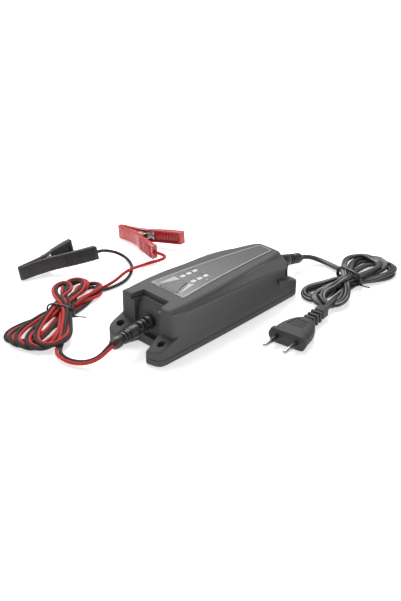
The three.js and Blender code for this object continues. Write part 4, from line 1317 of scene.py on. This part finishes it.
@dataclass
class Plug:
    """Flat two-pole mains plug with a domed grip and a ribbed boot."""

    face: tuple[float, float, float] = (9.5, -81, 7.1)
    heading: float = 8.0
    pin_half_pitch: float = 9.3
    dome_sides: int = 56
    dome_squareness: float = 3.4

    def matrix(self) -> Matrix:
        """Place of the plug, whose own +X runs from its face to its cord."""
        return turn_matrix(self.heading, 0, 0, self.face)

    def point(self, x: float, y: float, z: float) -> list[float]:
        """Point of the plug in the frame of the design."""
        return list(self.matrix() @ Vector((x, y, z)))

    def build(self) -> None:
        """Makes the dome, flange, grip lines, boot and pins."""
        self.build_dome()
        self.build_flange()
        plastic = moulded(PLUG_PLASTIC)
        block = RowShape.BLOCK
        grips = Row("plug_grip_lines", block, 4, (15, 0, 5.85), (2.6, 0, 0), (1.1, 11.5, 0.5), bevel=0.2)
        register(grips.build(plastic, self.matrix()), CHARGER, plastic)
        rows = (
            Row("fins", block, 3, (36.0, 0, 0), (5.5, 0, 0), (3.1, 10.0, 9.8), bevel=0.6),
            Row("neck", block, 1, (45, 0, 0), (0, 0, 0), (22, 5.4, 5.0), bevel=0.8),
            Row("collar", block, 1, (55.4, 0, 0), (0, 0, 0), (9.2, 9.2, 8.6), bevel=0.9),
        )
        boot = joined("plug_sleeve", rows, plastic, self.matrix())
        register(boot, CHARGER, plastic, ["plug_boot"])
        for i, sign in enumerate((-1, 1), 1):
            self.build_pin(i, sign * self.pin_half_pitch)

    def build_dome(self) -> None:
        """Makes the domed grip with a shallow hollow on both faces."""
        stations = np.array([
            (0.6, 15.6, 6.0), (2.0, 15.9, 6.4), (6, 16.0, 6.6), (12, 15.7, 6.6), (18, 14.6, 6.55),
            (23, 12.9, 6.4), (27, 10.9, 6.1), (30, 9.0, 5.7), (32.4, 6.9, 5.1), (33.6, 5.6, 4.5),
            (34.0, 4.6, 4.0),
        ])
        power = 2 / self.dome_squareness
        circle = circle_section(1.0, self.dome_sides)
        shape = np.sign(circle) * np.abs(circle) ** power
        rings = [
            np.column_stack([np.full(len(shape), x), half_width * shape[:, 0], half_height * shape[:, 1]])
            for x, half_width, half_height in catmull(stations, 4)
        ]
        verts, faces = ring_mesh(rings)
        dome = new_object("plug_dome", verts, faces, 35)
        for low, high in ((-9, -5.75), (5.75, 9)):
            hollow = rounded_outline([(13, -8.4), (25, -6.2), (25, 6.2), (13, 8.4)], 1.0, 3)
            combine(dome, stacked("grip", [hollow, hollow], [low, high]), Cut.TAKE)
        clean(dome, 35)
        move_mesh(dome, self.matrix())
        register(dome, CHARGER, moulded(PLUG_PLASTIC), ["plug_body"])

    def build_flange(self) -> None:
        """Makes the flat six-sided flange behind the pins."""
        hexagon = rounded_outline(
            [(-17.7, -1.2), (-15.2, -6.2), (-12, -6.8), (12, -6.8), (15.2, -6.2), (17.7, -1.2),
             (17.7, 1.2), (15.2, 6.2), (12, 6.8), (-12, 6.8), (-15.2, 6.2), (-17.7, 1.2)], 1.0, 4,
        )
        rings = [
            np.column_stack([np.full(len(hexagon), x), inset_outline(hexagon, inset)])
            for inset, x in ((0.6, 0), (0.2, 0.12), (0.0, 0.5), (0.0, 3.6), (0.4, 4.5), (1.2, 5.0))
        ]
        verts, faces = ring_mesh(rings)
        flange = new_object("plug_flange", placed(verts, self.matrix()), faces, 35)
        register(flange, CHARGER, moulded(PLUG_PLASTIC))

    def turned_along(self, name: str, profile: Sequence[Point], across: float) -> bpy.types.Object:
        """Turned piece that points out of the plug's face.

        Args:
            name: Name of the piece.
            profile: Radius and distance out of the face.
            across: Distance from the plug's middle.

        Returns:
            The object.
        """
        verts, faces = turned(profile, 32)
        verts = np.column_stack([-verts[:, 2], verts[:, 0] + across, verts[:, 1]])
        return new_object(name, placed(verts, self.matrix()), faces, 40)

    def build_pin(self, number: int, across: float) -> None:
        """Makes one pin and its insulating sleeve."""
        pin = self.turned_along(
            f"pin_{number}",
            [(0.001, -6), (1.9, -6), (1.9, 9.9), (1.95, 10.5), (1.95, 17.9), (1.75, 18.5), (1.2, 18.9),
             (0.001, 19)],
            across,
        )
        register(pin, CHARGER, metal(NICKEL), [f"plug_pin_{number}"])
        sleeve = [(1.92, -5.8), (2.0, -5.8), (2.0, 9.9), (1.97, 10.2), (1.92, 10.25)]
        cover = self.turned_along(f"pin_cover_{number}", sleeve, across)
        register(cover, CHARGER, moulded(SLEEVE_PLASTIC), [f"plug_pin_sleeve_{number}"])


PLUG = Plug()


# ---------------------------------------------------------------- camera, floor and light


@dataclass
class Studio:
    """Camera, pale floor and soft lights."""

    target: tuple[float, float, float] = (-9.1, -1.9, 20.0)
    azimuth: float = -46.0
    elevation: float = 29.5
    distance: float = 923.0
    lens: float = 65.9
    floor_reach: float = 6.0
    floor_glow: float = 0.6
    surround: float = 0.26

    def camera(self) -> None:
        """Makes the camera at the viewing angle."""
        a, e = math.radians(self.azimuth), math.radians(self.elevation)
        back = Vector((math.sin(a) * math.cos(e), -math.cos(a) * math.cos(e), math.sin(e)))
        data = bpy.data.cameras.new("camera")
        data.sensor_width = 36.0
        data.lens = self.lens
        data.clip_start, data.clip_end = 0.05, 20.0
        obj = bpy.data.objects.new("camera", data)
        obj.location = (Vector(self.target) + back * self.distance) * MM
        obj.rotation_mode = "QUATERNION"
        obj.rotation_quaternion = (-back).to_track_quat("-Z", "Y")
        bpy.context.scene.collection.objects.link(obj)
        bpy.context.scene.camera = obj

    def floor(self) -> None:
        """Makes a plain pale floor."""
        mesh = bpy.data.meshes.new("floor")
        r = self.floor_reach
        corners = [(-r, -r, 0), (r, -r, 0), (r, r, 0), (-r, r, 0)]
        mesh.from_pydata(corners, [], [(0, 1, 2, 3)])
        obj = bpy.data.objects.new("floor", mesh)
        bpy.context.scene.collection.objects.link(obj)
        finish = MouldedFinish("floor_paper", (0.90, 0.90, 0.90), (0.92, 0.92, 0.92), (0.8, 0.9), 300.0, 0.0)
        paper = moulded(finish)
        surface = paper.node_tree.nodes["Principled BSDF"]
        surface.inputs["Emission Color"].default_value = (1.0, 1.0, 1.0, 1)
        surface.inputs["Emission Strength"].default_value = self.floor_glow
        obj.data.materials.append(paper)

    def lights(self) -> None:
        """Makes the soft boxes and the pale surround."""
        world = bpy.data.worlds.new("studio")
        world.use_nodes = True
        shade_node = world.node_tree.nodes["Background"]
        shade_node.label = "pale surround"
        shade_node.inputs["Color"].default_value = (1.0, 1.0, 1.0, 1)
        shade_node.inputs["Strength"].default_value = self.surround
        bpy.context.scene.world = world
        jobs = (
            ("top_softbox", (0.55, 0.80, 1.3), 1.3, 34.0),
            ("left_softbox", (-1.4, 0.9, 0.9), 0.8, 2.5),
            ("front_softbox", (0.6, -1.5, 0.5), 0.8, 3.5),
        )
        for name, at, size, power in jobs:
            data = bpy.data.lights.new(name, "AREA")
            data.shape = "SQUARE"
            data.size = size
            data.energy = power
            obj = bpy.data.objects.new(name, data)
            obj.location = at
            obj.rotation_mode = "QUATERNION"
            obj.rotation_quaternion = (Vector(at) * -1).to_track_quat("-Z", "Y")
            bpy.context.scene.collection.objects.link(obj)


# ---------------------------------------------------------------- charger


@dataclass
class Housing:
    """Upper casing: shouldered section along its length, four ears, a cable recess and a label pocket."""

    half_length: float = 88.0
    side_end: float = 31.4
    side_bow: float = 0.9
    bottom: float = 6.5
    front_face: float = -70.5
    column_face: float = -69.0
    rear_face: float = 83.0
    front_corner: float = 8.0
    rear_corner: float = 20.0
    ear_inner: float = 17.2
    hole: tuple[float, float, float] = (76.5, 23.8, 3.3)
    hole_top: float = 30.0
    ear_tip: float = 12.0
    ear_slope: float = 0.35
    wall: float = 2.2
    label_front: float = -47.0
    label_rear: float = 77.0
    label_halves: tuple[float, float] = (19.5, 8.2)
    windows_x: tuple[float, ...] = (-19.8, -12.6, -5.4)
    windows_y: tuple[float, ...] = (8.4, -4.2)
    window_half: tuple[float, float] = (2.5, 2.0)
    border_ends: tuple[float, float] = (-45.6, 75.4)
    base_screws: tuple[tuple[float, float], ...] = ((-56, 26.2), (-56, -26.2), (56, 25.6), (56, -25.6))

    def side_half(self, x: float) -> float:
        """Half width of the charger at the base."""
        return self.side_end + self.side_bow * (1 - (x / self.half_length) ** 2)

    def plan_corner(self) -> list[tuple[float, float]]:
        """Outline of one ear from its inner corner to the side."""
        end = self.half_length
        return [
            (end, self.ear_inner), (end - 2.0, 26.0), (end - 3.6, 29.0), (end - 6.4, 30.9),
            (end - 10.5, self.side_half(end - 10.5)),
        ]

    @staticmethod
    def rounding(depth: float, radius: float) -> float:
        """How far a rounded edge falls back at a depth from the face."""
        if depth >= radius:
            return 0.0
        return radius - math.sqrt(max(0.0, radius**2 - (radius - depth) ** 2))

    def top_z(self, x: float, inset: float = 0.0) -> float:
        """Height of the top along the charger."""
        xs = (-71, -40, -20, 0, 20, 40, 60, 76, 83)
        zs = (43.9, 44.0, 43.7, 43.0, 42.1, 40.9, 39.4, 38.0, 37.2)
        z = smooth_table(xs, zs, x) - inset
        z -= self.rounding(self.rear_face - inset - x, 4.5)
        return z - self.rounding(x - self.front_face - inset, 2.8)

    def plan_limit(self, x: float, inset: float) -> float:
        """Half width of the casing, with rounded corners in plan."""
        y = self.side_half(x) - inset
        y -= self.rounding(x - self.front_face - inset, self.front_corner)
        return y - self.rounding(self.rear_face - inset - x, self.rear_corner)

    def section(self, x: float, inset: float, bottom: float) -> np.ndarray:
        """Closed section across the charger.

        Args:
            x: Place along the charger.
            inset: Distance inside the outer skin.
            bottom: Height of the open lower edge.

        Returns:
            Ring of points.
        """
        limit = self.plan_limit(x, inset)
        top = self.top_z(x, inset)
        lip_z = smooth_table(
            (-70, -50, -20, 10, 38, 58, 77, 83), (39.2, 38.6, 37.4, 36.2, 34.4, 31.4, 27.6, 26.4), x
        )
        crown = smooth_table(
            (-70, -56, -40, -20, -4, 17, 34, 50, 66, 76, 83),
            (27.2, 28.4, 28.6, 27.8, 26.4, 24.2, 22.2, 20.2, 17.4, 15.0, 11.8), x,
        ) - inset
        lip_y = smooth_table((-70, 0, 40, 60, 72, 83), (31.2, 31.2, 30.6, 29.4, 27.6, 24), x) - inset
        neck_y = lip_y - smooth_table((-70, -50, 0, 40, 80), (0.3, 1.0, 2.2, 2.8, 2.4), x)
        wall_y = smooth_table((-70, 0, 83), (31.1, 30.8, 29.6), x) - inset
        shoulder = lip_z + smooth_table((-70, -20, 30, 60, 83), (1.6, 2.4, 3.6, 5.0, 5.6), x)
        crease = min(lip_y - 0.8, crown + smooth_table((-70, 0, 60, 83), (0.9, 1.9, 2.4, 2.2), x))
        half = [
            (limit, bottom), (limit - 0.2, 11), (wall_y, 18), (neck_y, lip_z - 7.5), (neck_y, lip_z - 3.0),
            (lip_y - 0.6, lip_z - 0.8), (lip_y, lip_z + 0.4), (lip_y - 0.5, lip_z + 1.3),
            (crease + 0.3, shoulder), (crown + 0.4, shoulder + 1.2), (crown, top - 2.7),
            (crown - 0.7, top - 1.4), (crown - 2.2, top - 0.5), (crown - 4.6, top - 0.12), (crown * 0.4, top),
        ]
        least = 0.03
        below = bottom - least
        right = []
        for i, (y, z) in enumerate(half):
            ceiling = top - least * (len(half) - 1 - i)
            below = max(below + least, min(z, ceiling))
            right.append((min(y, limit), below))
        fine = catmull(np.array(right), 4)
        fine[:, 0] = np.minimum(fine[:, 0], limit)
        both = np.vstack([fine, (fine * (-1, 1))[::-1]])
        return np.column_stack([np.full(len(both), x), both])

    def shell(self, inset: float, bottom: float, front: float, rear: float) -> bpy.types.Object:
        """Closed body of the casing's section between two places.

        Args:
            inset: Distance inside the outer skin.
            bottom: Height of its lower edge.
            front: First place.
            rear: Last place.

        Returns:
            The object.
        """
        ease = 0.5 - 0.5 * np.cos(np.linspace(0, math.pi, 74))
        xs = front + (rear - front) * (0.55 * ease + 0.45 * np.linspace(0, 1, 74))
        verts, faces = ring_mesh([self.section(x, inset, bottom) for x in xs])
        return new_object("housing_shell", verts, faces)

    def ear_top(self, x: float, y: float) -> float:
        """Height of the sloping top of an ear."""
        return self.ear_tip + self.ear_slope * (self.half_length - abs(x)) + 0.08 * (abs(y) - self.ear_inner)

    def ear(self, sign_x: int, sign_y: int) -> bpy.types.Object:
        """One mounting ear with rounded upper edges."""
        if sign_x < 0:
            inner = [(59.3, 12.8), (68.2, 12.8), (80.0, 16.2)]
        else:
            inner = [(59.3, 15.0), (79.0, 15.2), (82.0, 15.2)]
        outline = inner + self.plan_corner()
        outline += [(66.0, self.side_half(66)), (59.3, self.side_half(59.3) - 1.2)]
        fine = rounded_outline([(sign_x * x, sign_y * y) for x, y in outline], 1.6)
        if sign_x * sign_y < 0:
            fine = fine[::-1]
        insets = (0.0, 0.1, 0.35, 0.8, 1.4)
        drops = (1.4, 0.85, 0.4, 0.12, 0.0)
        outlines = [fine] + [inset_outline(fine, i) for i in insets]
        heights: list = [self.bottom]
        heights += [(lambda x, y, d=d: self.ear_top(x, y) - d) for d in drops]
        return stacked("ear", outlines, heights)

    def label_half(self, x: float, grow: float = 0.0) -> float:
        """Half width of the label."""
        t = (x - self.label_front) / (self.label_rear - self.label_front)
        y = self.label_halves[0] + (self.label_halves[1] - self.label_halves[0]) * t
        y -= self.rounding(self.label_rear - x, 5.0)
        return y - self.rounding(x - self.label_front, 2.0) + grow

    def label_solid(self, name: str, grow: float, down: float, up: float) -> bpy.types.Object:
        """Label-shaped plate that follows the top.

        Args:
            name: Name of the object.
            grow: How far it is grown in plan.
            down: Depth below the top.
            up: Height above the top.

        Returns:
            The object.
        """
        inside = np.concatenate(
            [self.label_front + np.array([0, 0.1, 0.4, 0.9, 1.5, 2.2]), np.linspace(-43, 71, 80),
             self.label_rear - np.array([5, 3.6, 2.4, 1.4, 0.7, 0.2, 0])]
        )
        ends = inside.copy()
        ends[0] -= grow
        ends[-1] += grow
        rings = []
        for x, at in zip(inside, ends):
            y, z = self.label_half(x, grow), self.top_z(x)
            rings.append(np.array([[at, y, z - down], [at, y, z + up], [at, -y, z + up], [at, -y, z - down]]))
        verts, faces = ring_mesh(rings)
        return new_object(name, verts, faces)

    @staticmethod
    def button_outline(grow: float) -> np.ndarray:
        """Wedge outline of the button."""
        points = [
            (-45.2, 9.6), (-46.0, 5.0), (-46.2, 0), (-46.0, -5.0), (-45.2, -9.6), (-38, -6.6), (-32, -4.6),
            (-26.5, -3.6), (-26.5, 3.6), (-32, 4.6), (-38, 6.6),
        ]
        return inset_outline(rounded_outline(points, 1.0, 3), -grow)

    def window_boxes(self, grow: float, low: float, high: float) -> list[bpy.types.Object]:
        """Blocks at the six light windows."""
        hx, hy = self.window_half[0] + grow, self.window_half[1] + grow
        return [
            box_tool((x - hx, y - hy, low), (x + hx, y + hy, high))
            for y in self.windows_y for x in self.windows_x
        ]

    @staticmethod
    def recess(grow: float) -> list[bpy.types.Object]:
        """Tools that cut the stepped cable recess, grown by a distance."""
        g = grow
        profile = [
            (-90, 10 - g), (-64.8 + g, 10 - g), (-64.8 + g, 33), (-60.4 + g, 40.4), (-60.4 + g, 41.6),
            (-58 + g, 41.6), (-58 + g, 52), (-90, 52),
        ]
        half = 14.2 + g
        rings = [np.array([[x, y, z] for x, z in profile]) for y in (-half, half)]
        verts, faces = ring_mesh(rings, capped=False)
        faces += [tuple(reversed(range(8))), tuple(range(8, 16))]
        deep = new_object("recess", verts, faces)
        flare = np.array([(-90, -21 - g), (-58 + g, -14.8 - g), (-58 + g, 14.8 + g), (-90, 21 + g)])
        return [deep, stacked("flare", [flare, flare], [39.4 - g, 52])]

    def build(self) -> None:
        """Makes the casing, base and label and what sits in the label."""
        body = self.shell(0, self.bottom, self.front_face, self.rear_face)
        front = box_tool((-90, -40, 0), (-60, 40, 38.6))
        half = self.side_half(self.column_face)
        kept = [(-50, -half - 9), (-50, half + 9), (-58, half), (self.column_face, half)]
        kept += [(self.column_face, -half), (-58, -half)]
        core = rounded_outline(kept, 5.5, 10)
        combine(front, stacked("columns", [core, core], [-1, 40]), Cut.TAKE)
        combine(body, front, Cut.TAKE)
        for sx in (-1, 1):
            for sy in (-1, 1):
                combine(body, self.ear(sx, sy), Cut.JOIN)
        cavity = self.shell(self.wall, 4.0, -67.8, 80.8)
        for tool in self.recess(self.wall) + self.holes(0, self.hole_top + self.wall, self.wall):
            combine(cavity, tool, Cut.TAKE)
        combine(body, cavity, Cut.TAKE)
        for tool in self.recess(0.0):
            combine(body, tool, Cut.TAKE)
        for tool in self.holes(0, self.hole_top) + [self.bore(FRONT_RELIEF), self.bore(REAR_RELIEF)]:
            combine(body, tool, Cut.TAKE)
        combine(body, self.label_solid("pocket", 0.3, 0.6, 6), Cut.TAKE)
        outline = self.button_outline(0.35)
        combine(body, stacked("button_hole", [outline, outline], [36, 50]), Cut.TAKE)
        for tool in self.window_boxes(0.3, 36, 50):
            combine(body, tool, Cut.TAKE)
        body.name = "upper_casing"
        clean(body, 30)
        register(body, CHARGER, moulded(CHARGER_PLASTIC), ["top_housing"])
        self.build_base()
        self.build_label()

    def holes(self, low: float, high: float, grow: float = 0.0) -> list[bpy.types.Object]:
        """Tools for the four screw holes in the ears, or for the walls round them when grown."""
        x, y, r = self.hole
        made = []
        for sx in (-1, 1):
            for sy in (-1, 1):
                outline = circle_section(r + grow, 40) + (sx * x, sy * y)
                made.append(stacked("hole", [outline, outline], [low, high]))
        return made

    @staticmethod
    def bore(relief: Relief) -> bpy.types.Object:
        """Tool for the passage of a strain relief."""
        verts, faces = turned([(0.001, -7), (5.1, -7), (5.1, 7), (0.001, 7)], 40)
        verts = verts[:, [2, 0, 1]]
        return new_object("bore", placed(verts, relief.matrix()), faces)

    def base_plan(self) -> np.ndarray:
        """Rounded outline of the base tray."""
        side = [(x, self.side_half(x)) for x in (60, 40, 20)]
        corner = self.plan_corner() + side
        rear = [(79.0, 12.5), (82.0, self.ear_inner - 2)] + corner
        front = [(-x, y) for x, y in reversed(corner)] + [(-80.0, 16.2), (-68.0, 12.8)]
        upper = rear + [(0.0, self.side_half(0))] + front
        lower = [(x, -y) for x, y in reversed(upper)]
        return rounded_outline(upper + lower, 1.5)

    def build_base(self) -> None:
        """Makes the base tray with its softened lower edge and screw wells."""
        plan = self.base_plan()
        insets = (1.5, 1.1, 0.7, 0.3, 0.05, 0.0, 0.0, 0.25)
        heights = (0.0, 0.1, 0.4, 0.9, 1.6, 2.4, 5.75, 6.0)
        base = stacked("lower_tray", [inset_outline(plan, i) for i in insets], heights)
        for tool in self.holes(-1, self.hole_top):
            combine(base, tool, Cut.TAKE)
        for x, y in self.base_screws:
            outline = circle_section(3.1, 32) + (x, y)
            combine(base, stacked("well", [outline, outline], [-1, 2.6]), Cut.TAKE)
        clean(base, 30)
        register(base, CHARGER, moulded(CHARGER_PLASTIC), ["base_tray"])

    def build_label(self) -> None:
        """Makes the label film, its printed shapes, the windows and the button."""
        label = self.label_solid("label_film", 0.0, 0.35, 0.25)
        outline = self.button_outline(0.35)
        combine(label, stacked("button_hole", [outline, outline], [36, 50]), Cut.TAKE)
        for tool in self.window_boxes(0.3, 36, 50):
            combine(label, tool, Cut.TAKE)
        clean(label, 30)
        register(label, CHARGER, moulded(LABEL_FILM), ["top_label"])
        self.build_windows()
        self.build_button()
        self.build_print()

    def build_windows(self) -> None:
        """Makes the six frosted windows."""
        verts: list = []
        faces: Faces = []
        for wy in self.windows_y:
            for wx in self.windows_x:
                hx, hy = self.window_half
                square = rounded_outline(
                    [(wx - hx, wy - hy), (wx + hx, wy - hy), (wx + hx, wy + hy), (wx - hx, wy + hy)], 0.4, 3
                )
                top = self.top_z(wx)
                rings = [
                    np.column_stack([inset_outline(square, inset), np.full(len(square), z)])
                    for inset, z in ((0, top - 2.2), (0, top + 0.02), (0.08, top + 0.14), (0.25, top + 0.2))
                ]
                made, skin = ring_mesh(rings)
                faces += [tuple(k + len(verts) for k in f) for f in skin]
                verts += list(made)
        windows = new_object("light_windows", verts, faces)
        register(windows, CHARGER, moulded(WINDOW), ["light_guide"])

    def build_button(self) -> None:
        """Makes the wedge button with a softened rim and a slight dish."""
        outline = self.button_outline(0)
        top = self.top_z(-36)
        rings = []
        for inset, z in ((0, 41.2), (0, top + 0.2), (0.15, top + 0.42), (0.45, top + 0.55), (1.4, top + 0.5)):
            rings.append(np.column_stack([inset_outline(outline, inset), np.full(len(outline), z)]))
        verts, faces = ring_mesh(rings, capped=False)
        count = len(outline)
        faces += [tuple(reversed(range(count))), tuple(len(verts) - count + j for j in range(count))]
        button = new_object("mode_key", verts, faces)
        register(button, "mode_button", moulded(BUTTON_PLASTIC), ["mode_button"])

    def ribbon(self, left: np.ndarray, right: np.ndarray, thick: float = 0.12) -> tuple[np.ndarray, Faces]:
        """Thin strip of ink that lies on the label between two lines.

        Args:
            left: Points along one edge.
            right: Points along the other edge.
            thick: Height of the ink.

        Returns:
            Vertices and faces.
        """
        rings = []
        for (ax, ay), (bx, by) in zip(left, right):
            za, zb = self.top_z(ax) + 0.25, self.top_z(bx) + 0.25
            ring = [[ax, ay, za - 0.02], [ax, ay, za + thick], [bx, by, zb + thick], [bx, by, zb - 0.02]]
            rings.append(np.array(ring))
        return ring_mesh(rings)

    def build_print(self) -> None:
        """Makes the printed border, wedges and plain marks of the label."""
        verts: list = []
        faces: Faces = []

        def keep(made: tuple[np.ndarray, Faces]) -> None:
            """Adds one strip to the print."""
            faces.extend(tuple(k + len(verts) for k in f) for f in made[1])
            verts.extend(list(made[0]))

        front, rear = self.border_ends
        xs = np.concatenate([np.linspace(front, 70, 40), [72, 73.6, 74.8, rear]])
        for sign in (-1, 1):
            outer = np.array([(x, sign * max(self.label_half(x) - 1.0, 0)) for x in xs])
            inner = np.array([(x - 0.3, sign * max(self.label_half(x) - 1.75, 0)) for x in xs])
            keep(self.ribbon(outer, inner))
            start, end = self.label_half(front) - 1.6, 13.2
            turn = np.array([(front + 0.15 * k, sign * (start + (end - start) * k / 6)) for k in range(7)])
            keep(self.ribbon(turn, turn + (0.75, 0)))
        rear_y = self.label_half(rear) - 0.9
        across = np.linspace(-rear_y, rear_y, 9)
        keep(self.ribbon(np.array([(rear, y) for y in across]), np.array([(74.6, y) for y in across])))
        for tip, upper, lower in (
            ((front, 12.6), (-25.5, 12.2), (-26.0, 5.4)), ((-45.2, -12.4), (-23.5, -9.2), (-26.0, -5.2)),
        ):
            edge_a = np.array([np.add(tip, np.subtract(upper, tip) * t) for t in np.linspace(0, 1, 8)])
            edge_b = np.array([np.add(tip, np.subtract(lower, tip) * t) for t in np.linspace(0.02, 1, 8)])
            keep(self.ribbon(edge_a, edge_b))
        border = new_object("label_print", verts, faces)
        register(border, CHARGER, moulded(SILVER_INK))
        top = self.top_z(-12.6) + 0.26
        first_x = self.windows_x[0]
        under = (self.windows_x[1] - first_x, 0, -0.02)
        jobs = (
            ("outer", 5, (-25.0, -12.6, top), (5.0, 0.75, -0.02), (2.2, 1.6, 0.12)),
            ("middle", 3, (first_x, 3.6, top), under, (3.6, 0.5, 0.12)),
            ("inner", 3, (first_x, 12.4, top), under, (3.6, 0.5, 0.12)),
            ("beside", 3, (first_x, 1.0, top), under, (2.4, 0.5, 0.12)),
        )
        rows = [
            Row(name, RowShape.BLOCK, count, start, step, size, bevel=0.03)
            for name, count, start, step, size in jobs
        ]
        marks = joined("label_marks", rows, moulded(PALE_INK), Matrix.Identity(4))
        register(marks, CHARGER, moulded(PALE_INK))


# ---------------------------------------------------------------- ties


@dataclass
class Tie:
    """A twisted wire tie round the waist of a hank, with two loose ends."""

    name: str
    node: str
    hank: Hank
    top: float
    half: float
    wire: float
    tail_radius: float = 0.5
    tail_length: float = 12.0
    tail_points: int = 26

    def build(self) -> None:
        """Makes the closed ring and its two twisted tails."""
        self.build_ring()
        for strand in (0, 1):
            points = []
            for t in np.linspace(0, 1, self.tail_points):
                turn = 9 * t + math.pi * strand
                u, v = -1 - 2 * t, -self.half - 0.4 - self.tail_length * t
                z = 4.5 + 2.5 * t + 0.5 * math.sin(turn)
                points.append(self.hank.world(u + 0.5 * math.cos(turn), v, z))
            side = np.tile([0.0, 0, 1], (self.tail_points, 1))
            section = circle_section(self.tail_radius, 8)
            tail, _ = rope_tube(f"{self.name}_tail_{strand + 1}", np.array(points), side, section, 0.6)
            register(tail, CHARGER, moulded(TIE_SHEATH))

    def build_ring(self) -> None:
        """Makes the flat closed ring."""
        ring = []
        for t in np.linspace(0, 2 * math.pi, 40, endpoint=False):
            v = self.half * math.copysign(abs(math.cos(t)) ** 0.7, math.cos(t))
            lift = 1 + math.copysign(abs(math.sin(t)) ** 0.8, math.sin(t))
            z = self.wire / 2 + 0.1 + (self.top - self.wire) / 2 * lift
            ring.append(self.hank.world(0.6 * math.sin(2 * t), v, z))
        line = catmull(np.array(ring), 2, closed=True)
        tangent = np.roll(line, -1, 0) - np.roll(line, 1, 0)
        a = math.radians(self.hank.angle)
        side = np.array([math.cos(a), math.sin(a), 0.0])
        across = np.cross(tangent, side)
        across /= np.linalg.norm(across, axis=1, keepdims=True)
        section = circle_section(self.wire / 2, 12) * (1.5, 1.0)
        rings = [
            at + np.outer(section[:, 0], side) + np.outer(section[:, 1], up) for at, up in zip(line, across)
        ]
        verts, faces = ring_mesh(rings + rings[:1], capped=False)
        obj = new_object(self.name, verts, faces, 50)
        register(obj, CHARGER, moulded(TIE_SHEATH), [self.node])


# ---------------------------------------------------------------- hidden parts


@dataclass(frozen=True)
class HiddenParts:
    """Finishes of the CAD nodes that stay inside the casing, and of its screws."""

    board: MouldedFinish = MouldedFinish(
        "circuit_board", (0.020, 0.13, 0.060), (0.035, 0.18, 0.085), (0.25, 0.35)
    )
    black: MouldedFinish = MouldedFinish("component_black", (0.020, 0.020, 0.022), (0.035, 0.035, 0.037))
    core: MouldedFinish = MouldedFinish("ferrite", (0.045, 0.045, 0.050), (0.075, 0.075, 0.080), (0.6, 0.8))
    tape: MouldedFinish = MouldedFinish("winding_tape", (0.60, 0.42, 0.08), (0.72, 0.54, 0.14), (0.3, 0.4))
    seal: MouldedFinish = MouldedFinish(
        "seal_rubber", (0.015, 0.015, 0.015), (0.025, 0.025, 0.025), (0.6, 0.8)
    )
    blue: MouldedFinish = MouldedFinish(
        "capacitor_sleeve", (0.030, 0.065, 0.22), (0.045, 0.090, 0.28), (0.25, 0.35)
    )
    glass: MouldedFinish = MouldedFinish(
        "fuse_tube", (0.55, 0.58, 0.60), (0.65, 0.68, 0.70), (0.10, 0.18)
    )
    copper: MetalFinish = MetalFinish("copper_winding", (0.70, 0.30, 0.14), (0.45, 0.18, 0.08))
    aluminium: MetalFinish = MetalFinish("bare_aluminium", (0.66, 0.67, 0.68), (0.46, 0.47, 0.48))
    zinc: MetalFinish = MetalFinish("zinc_screw", (0.58, 0.58, 0.57), (0.36, 0.36, 0.35))

    def dress(self) -> None:
        """Gives each hidden node its material."""
        board, black, copper = moulded(self.board), moulded(self.black), metal(self.copper)
        finishes = {
            "circuit_board": board, "control_board": board, "tact_switch": black,
            "transformer_core": moulded(self.core), "transformer_winding": moulded(self.tape),
            "mains_capacitor": black, "output_capacitor_1": black, "output_capacitor_2": black,
            "filter_choke": copper, "heat_sink": metal(self.aluminium), "power_transistor": black,
            "rectifier_diode": black, "mains_fuse": moulded(self.glass),
            "filter_capacitor": moulded(self.blue), "sealing_gasket": moulded(self.seal),
        }
        finishes.update({f"housing_screw_{i}": metal(self.zinc) for i in range(1, 5)})
        for node, material in finishes.items():
            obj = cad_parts[node]
            obj.data.materials.clear()
            obj.data.materials.append(material)


def main() -> None:
    """Builds the scene in order: camera, cords, charger, strain reliefs, plug, clamps, ties and light."""
    logging.basicConfig(level=logging.INFO, format="%(message)s")
    studio = Studio()
    studio.camera()
    output, mains = OutputLead(), MainsLead()
    output.build()
    mains.build()
    Housing().build()
    for part in (FRONT_RELIEF, REAR_RELIEF, PLUG, RED_CLAMP, BLACK_CLAMP):
        part.build()
    Tie("output_tie", "output_hank_tie", output.hank, 13.6, 12.4, 1.5).build()
    Tie("mains_tie", "mains_hank_tie", mains.hank, 15.2, 13.2, 2.4).build()
    output.declare()
    mains.declare()
    HiddenParts().dress()
    studio.floor()
    studio.lights()
    view = bpy.context.scene.view_settings
    view.view_transform = "Standard"


if __name__ == "__main__":
    main()
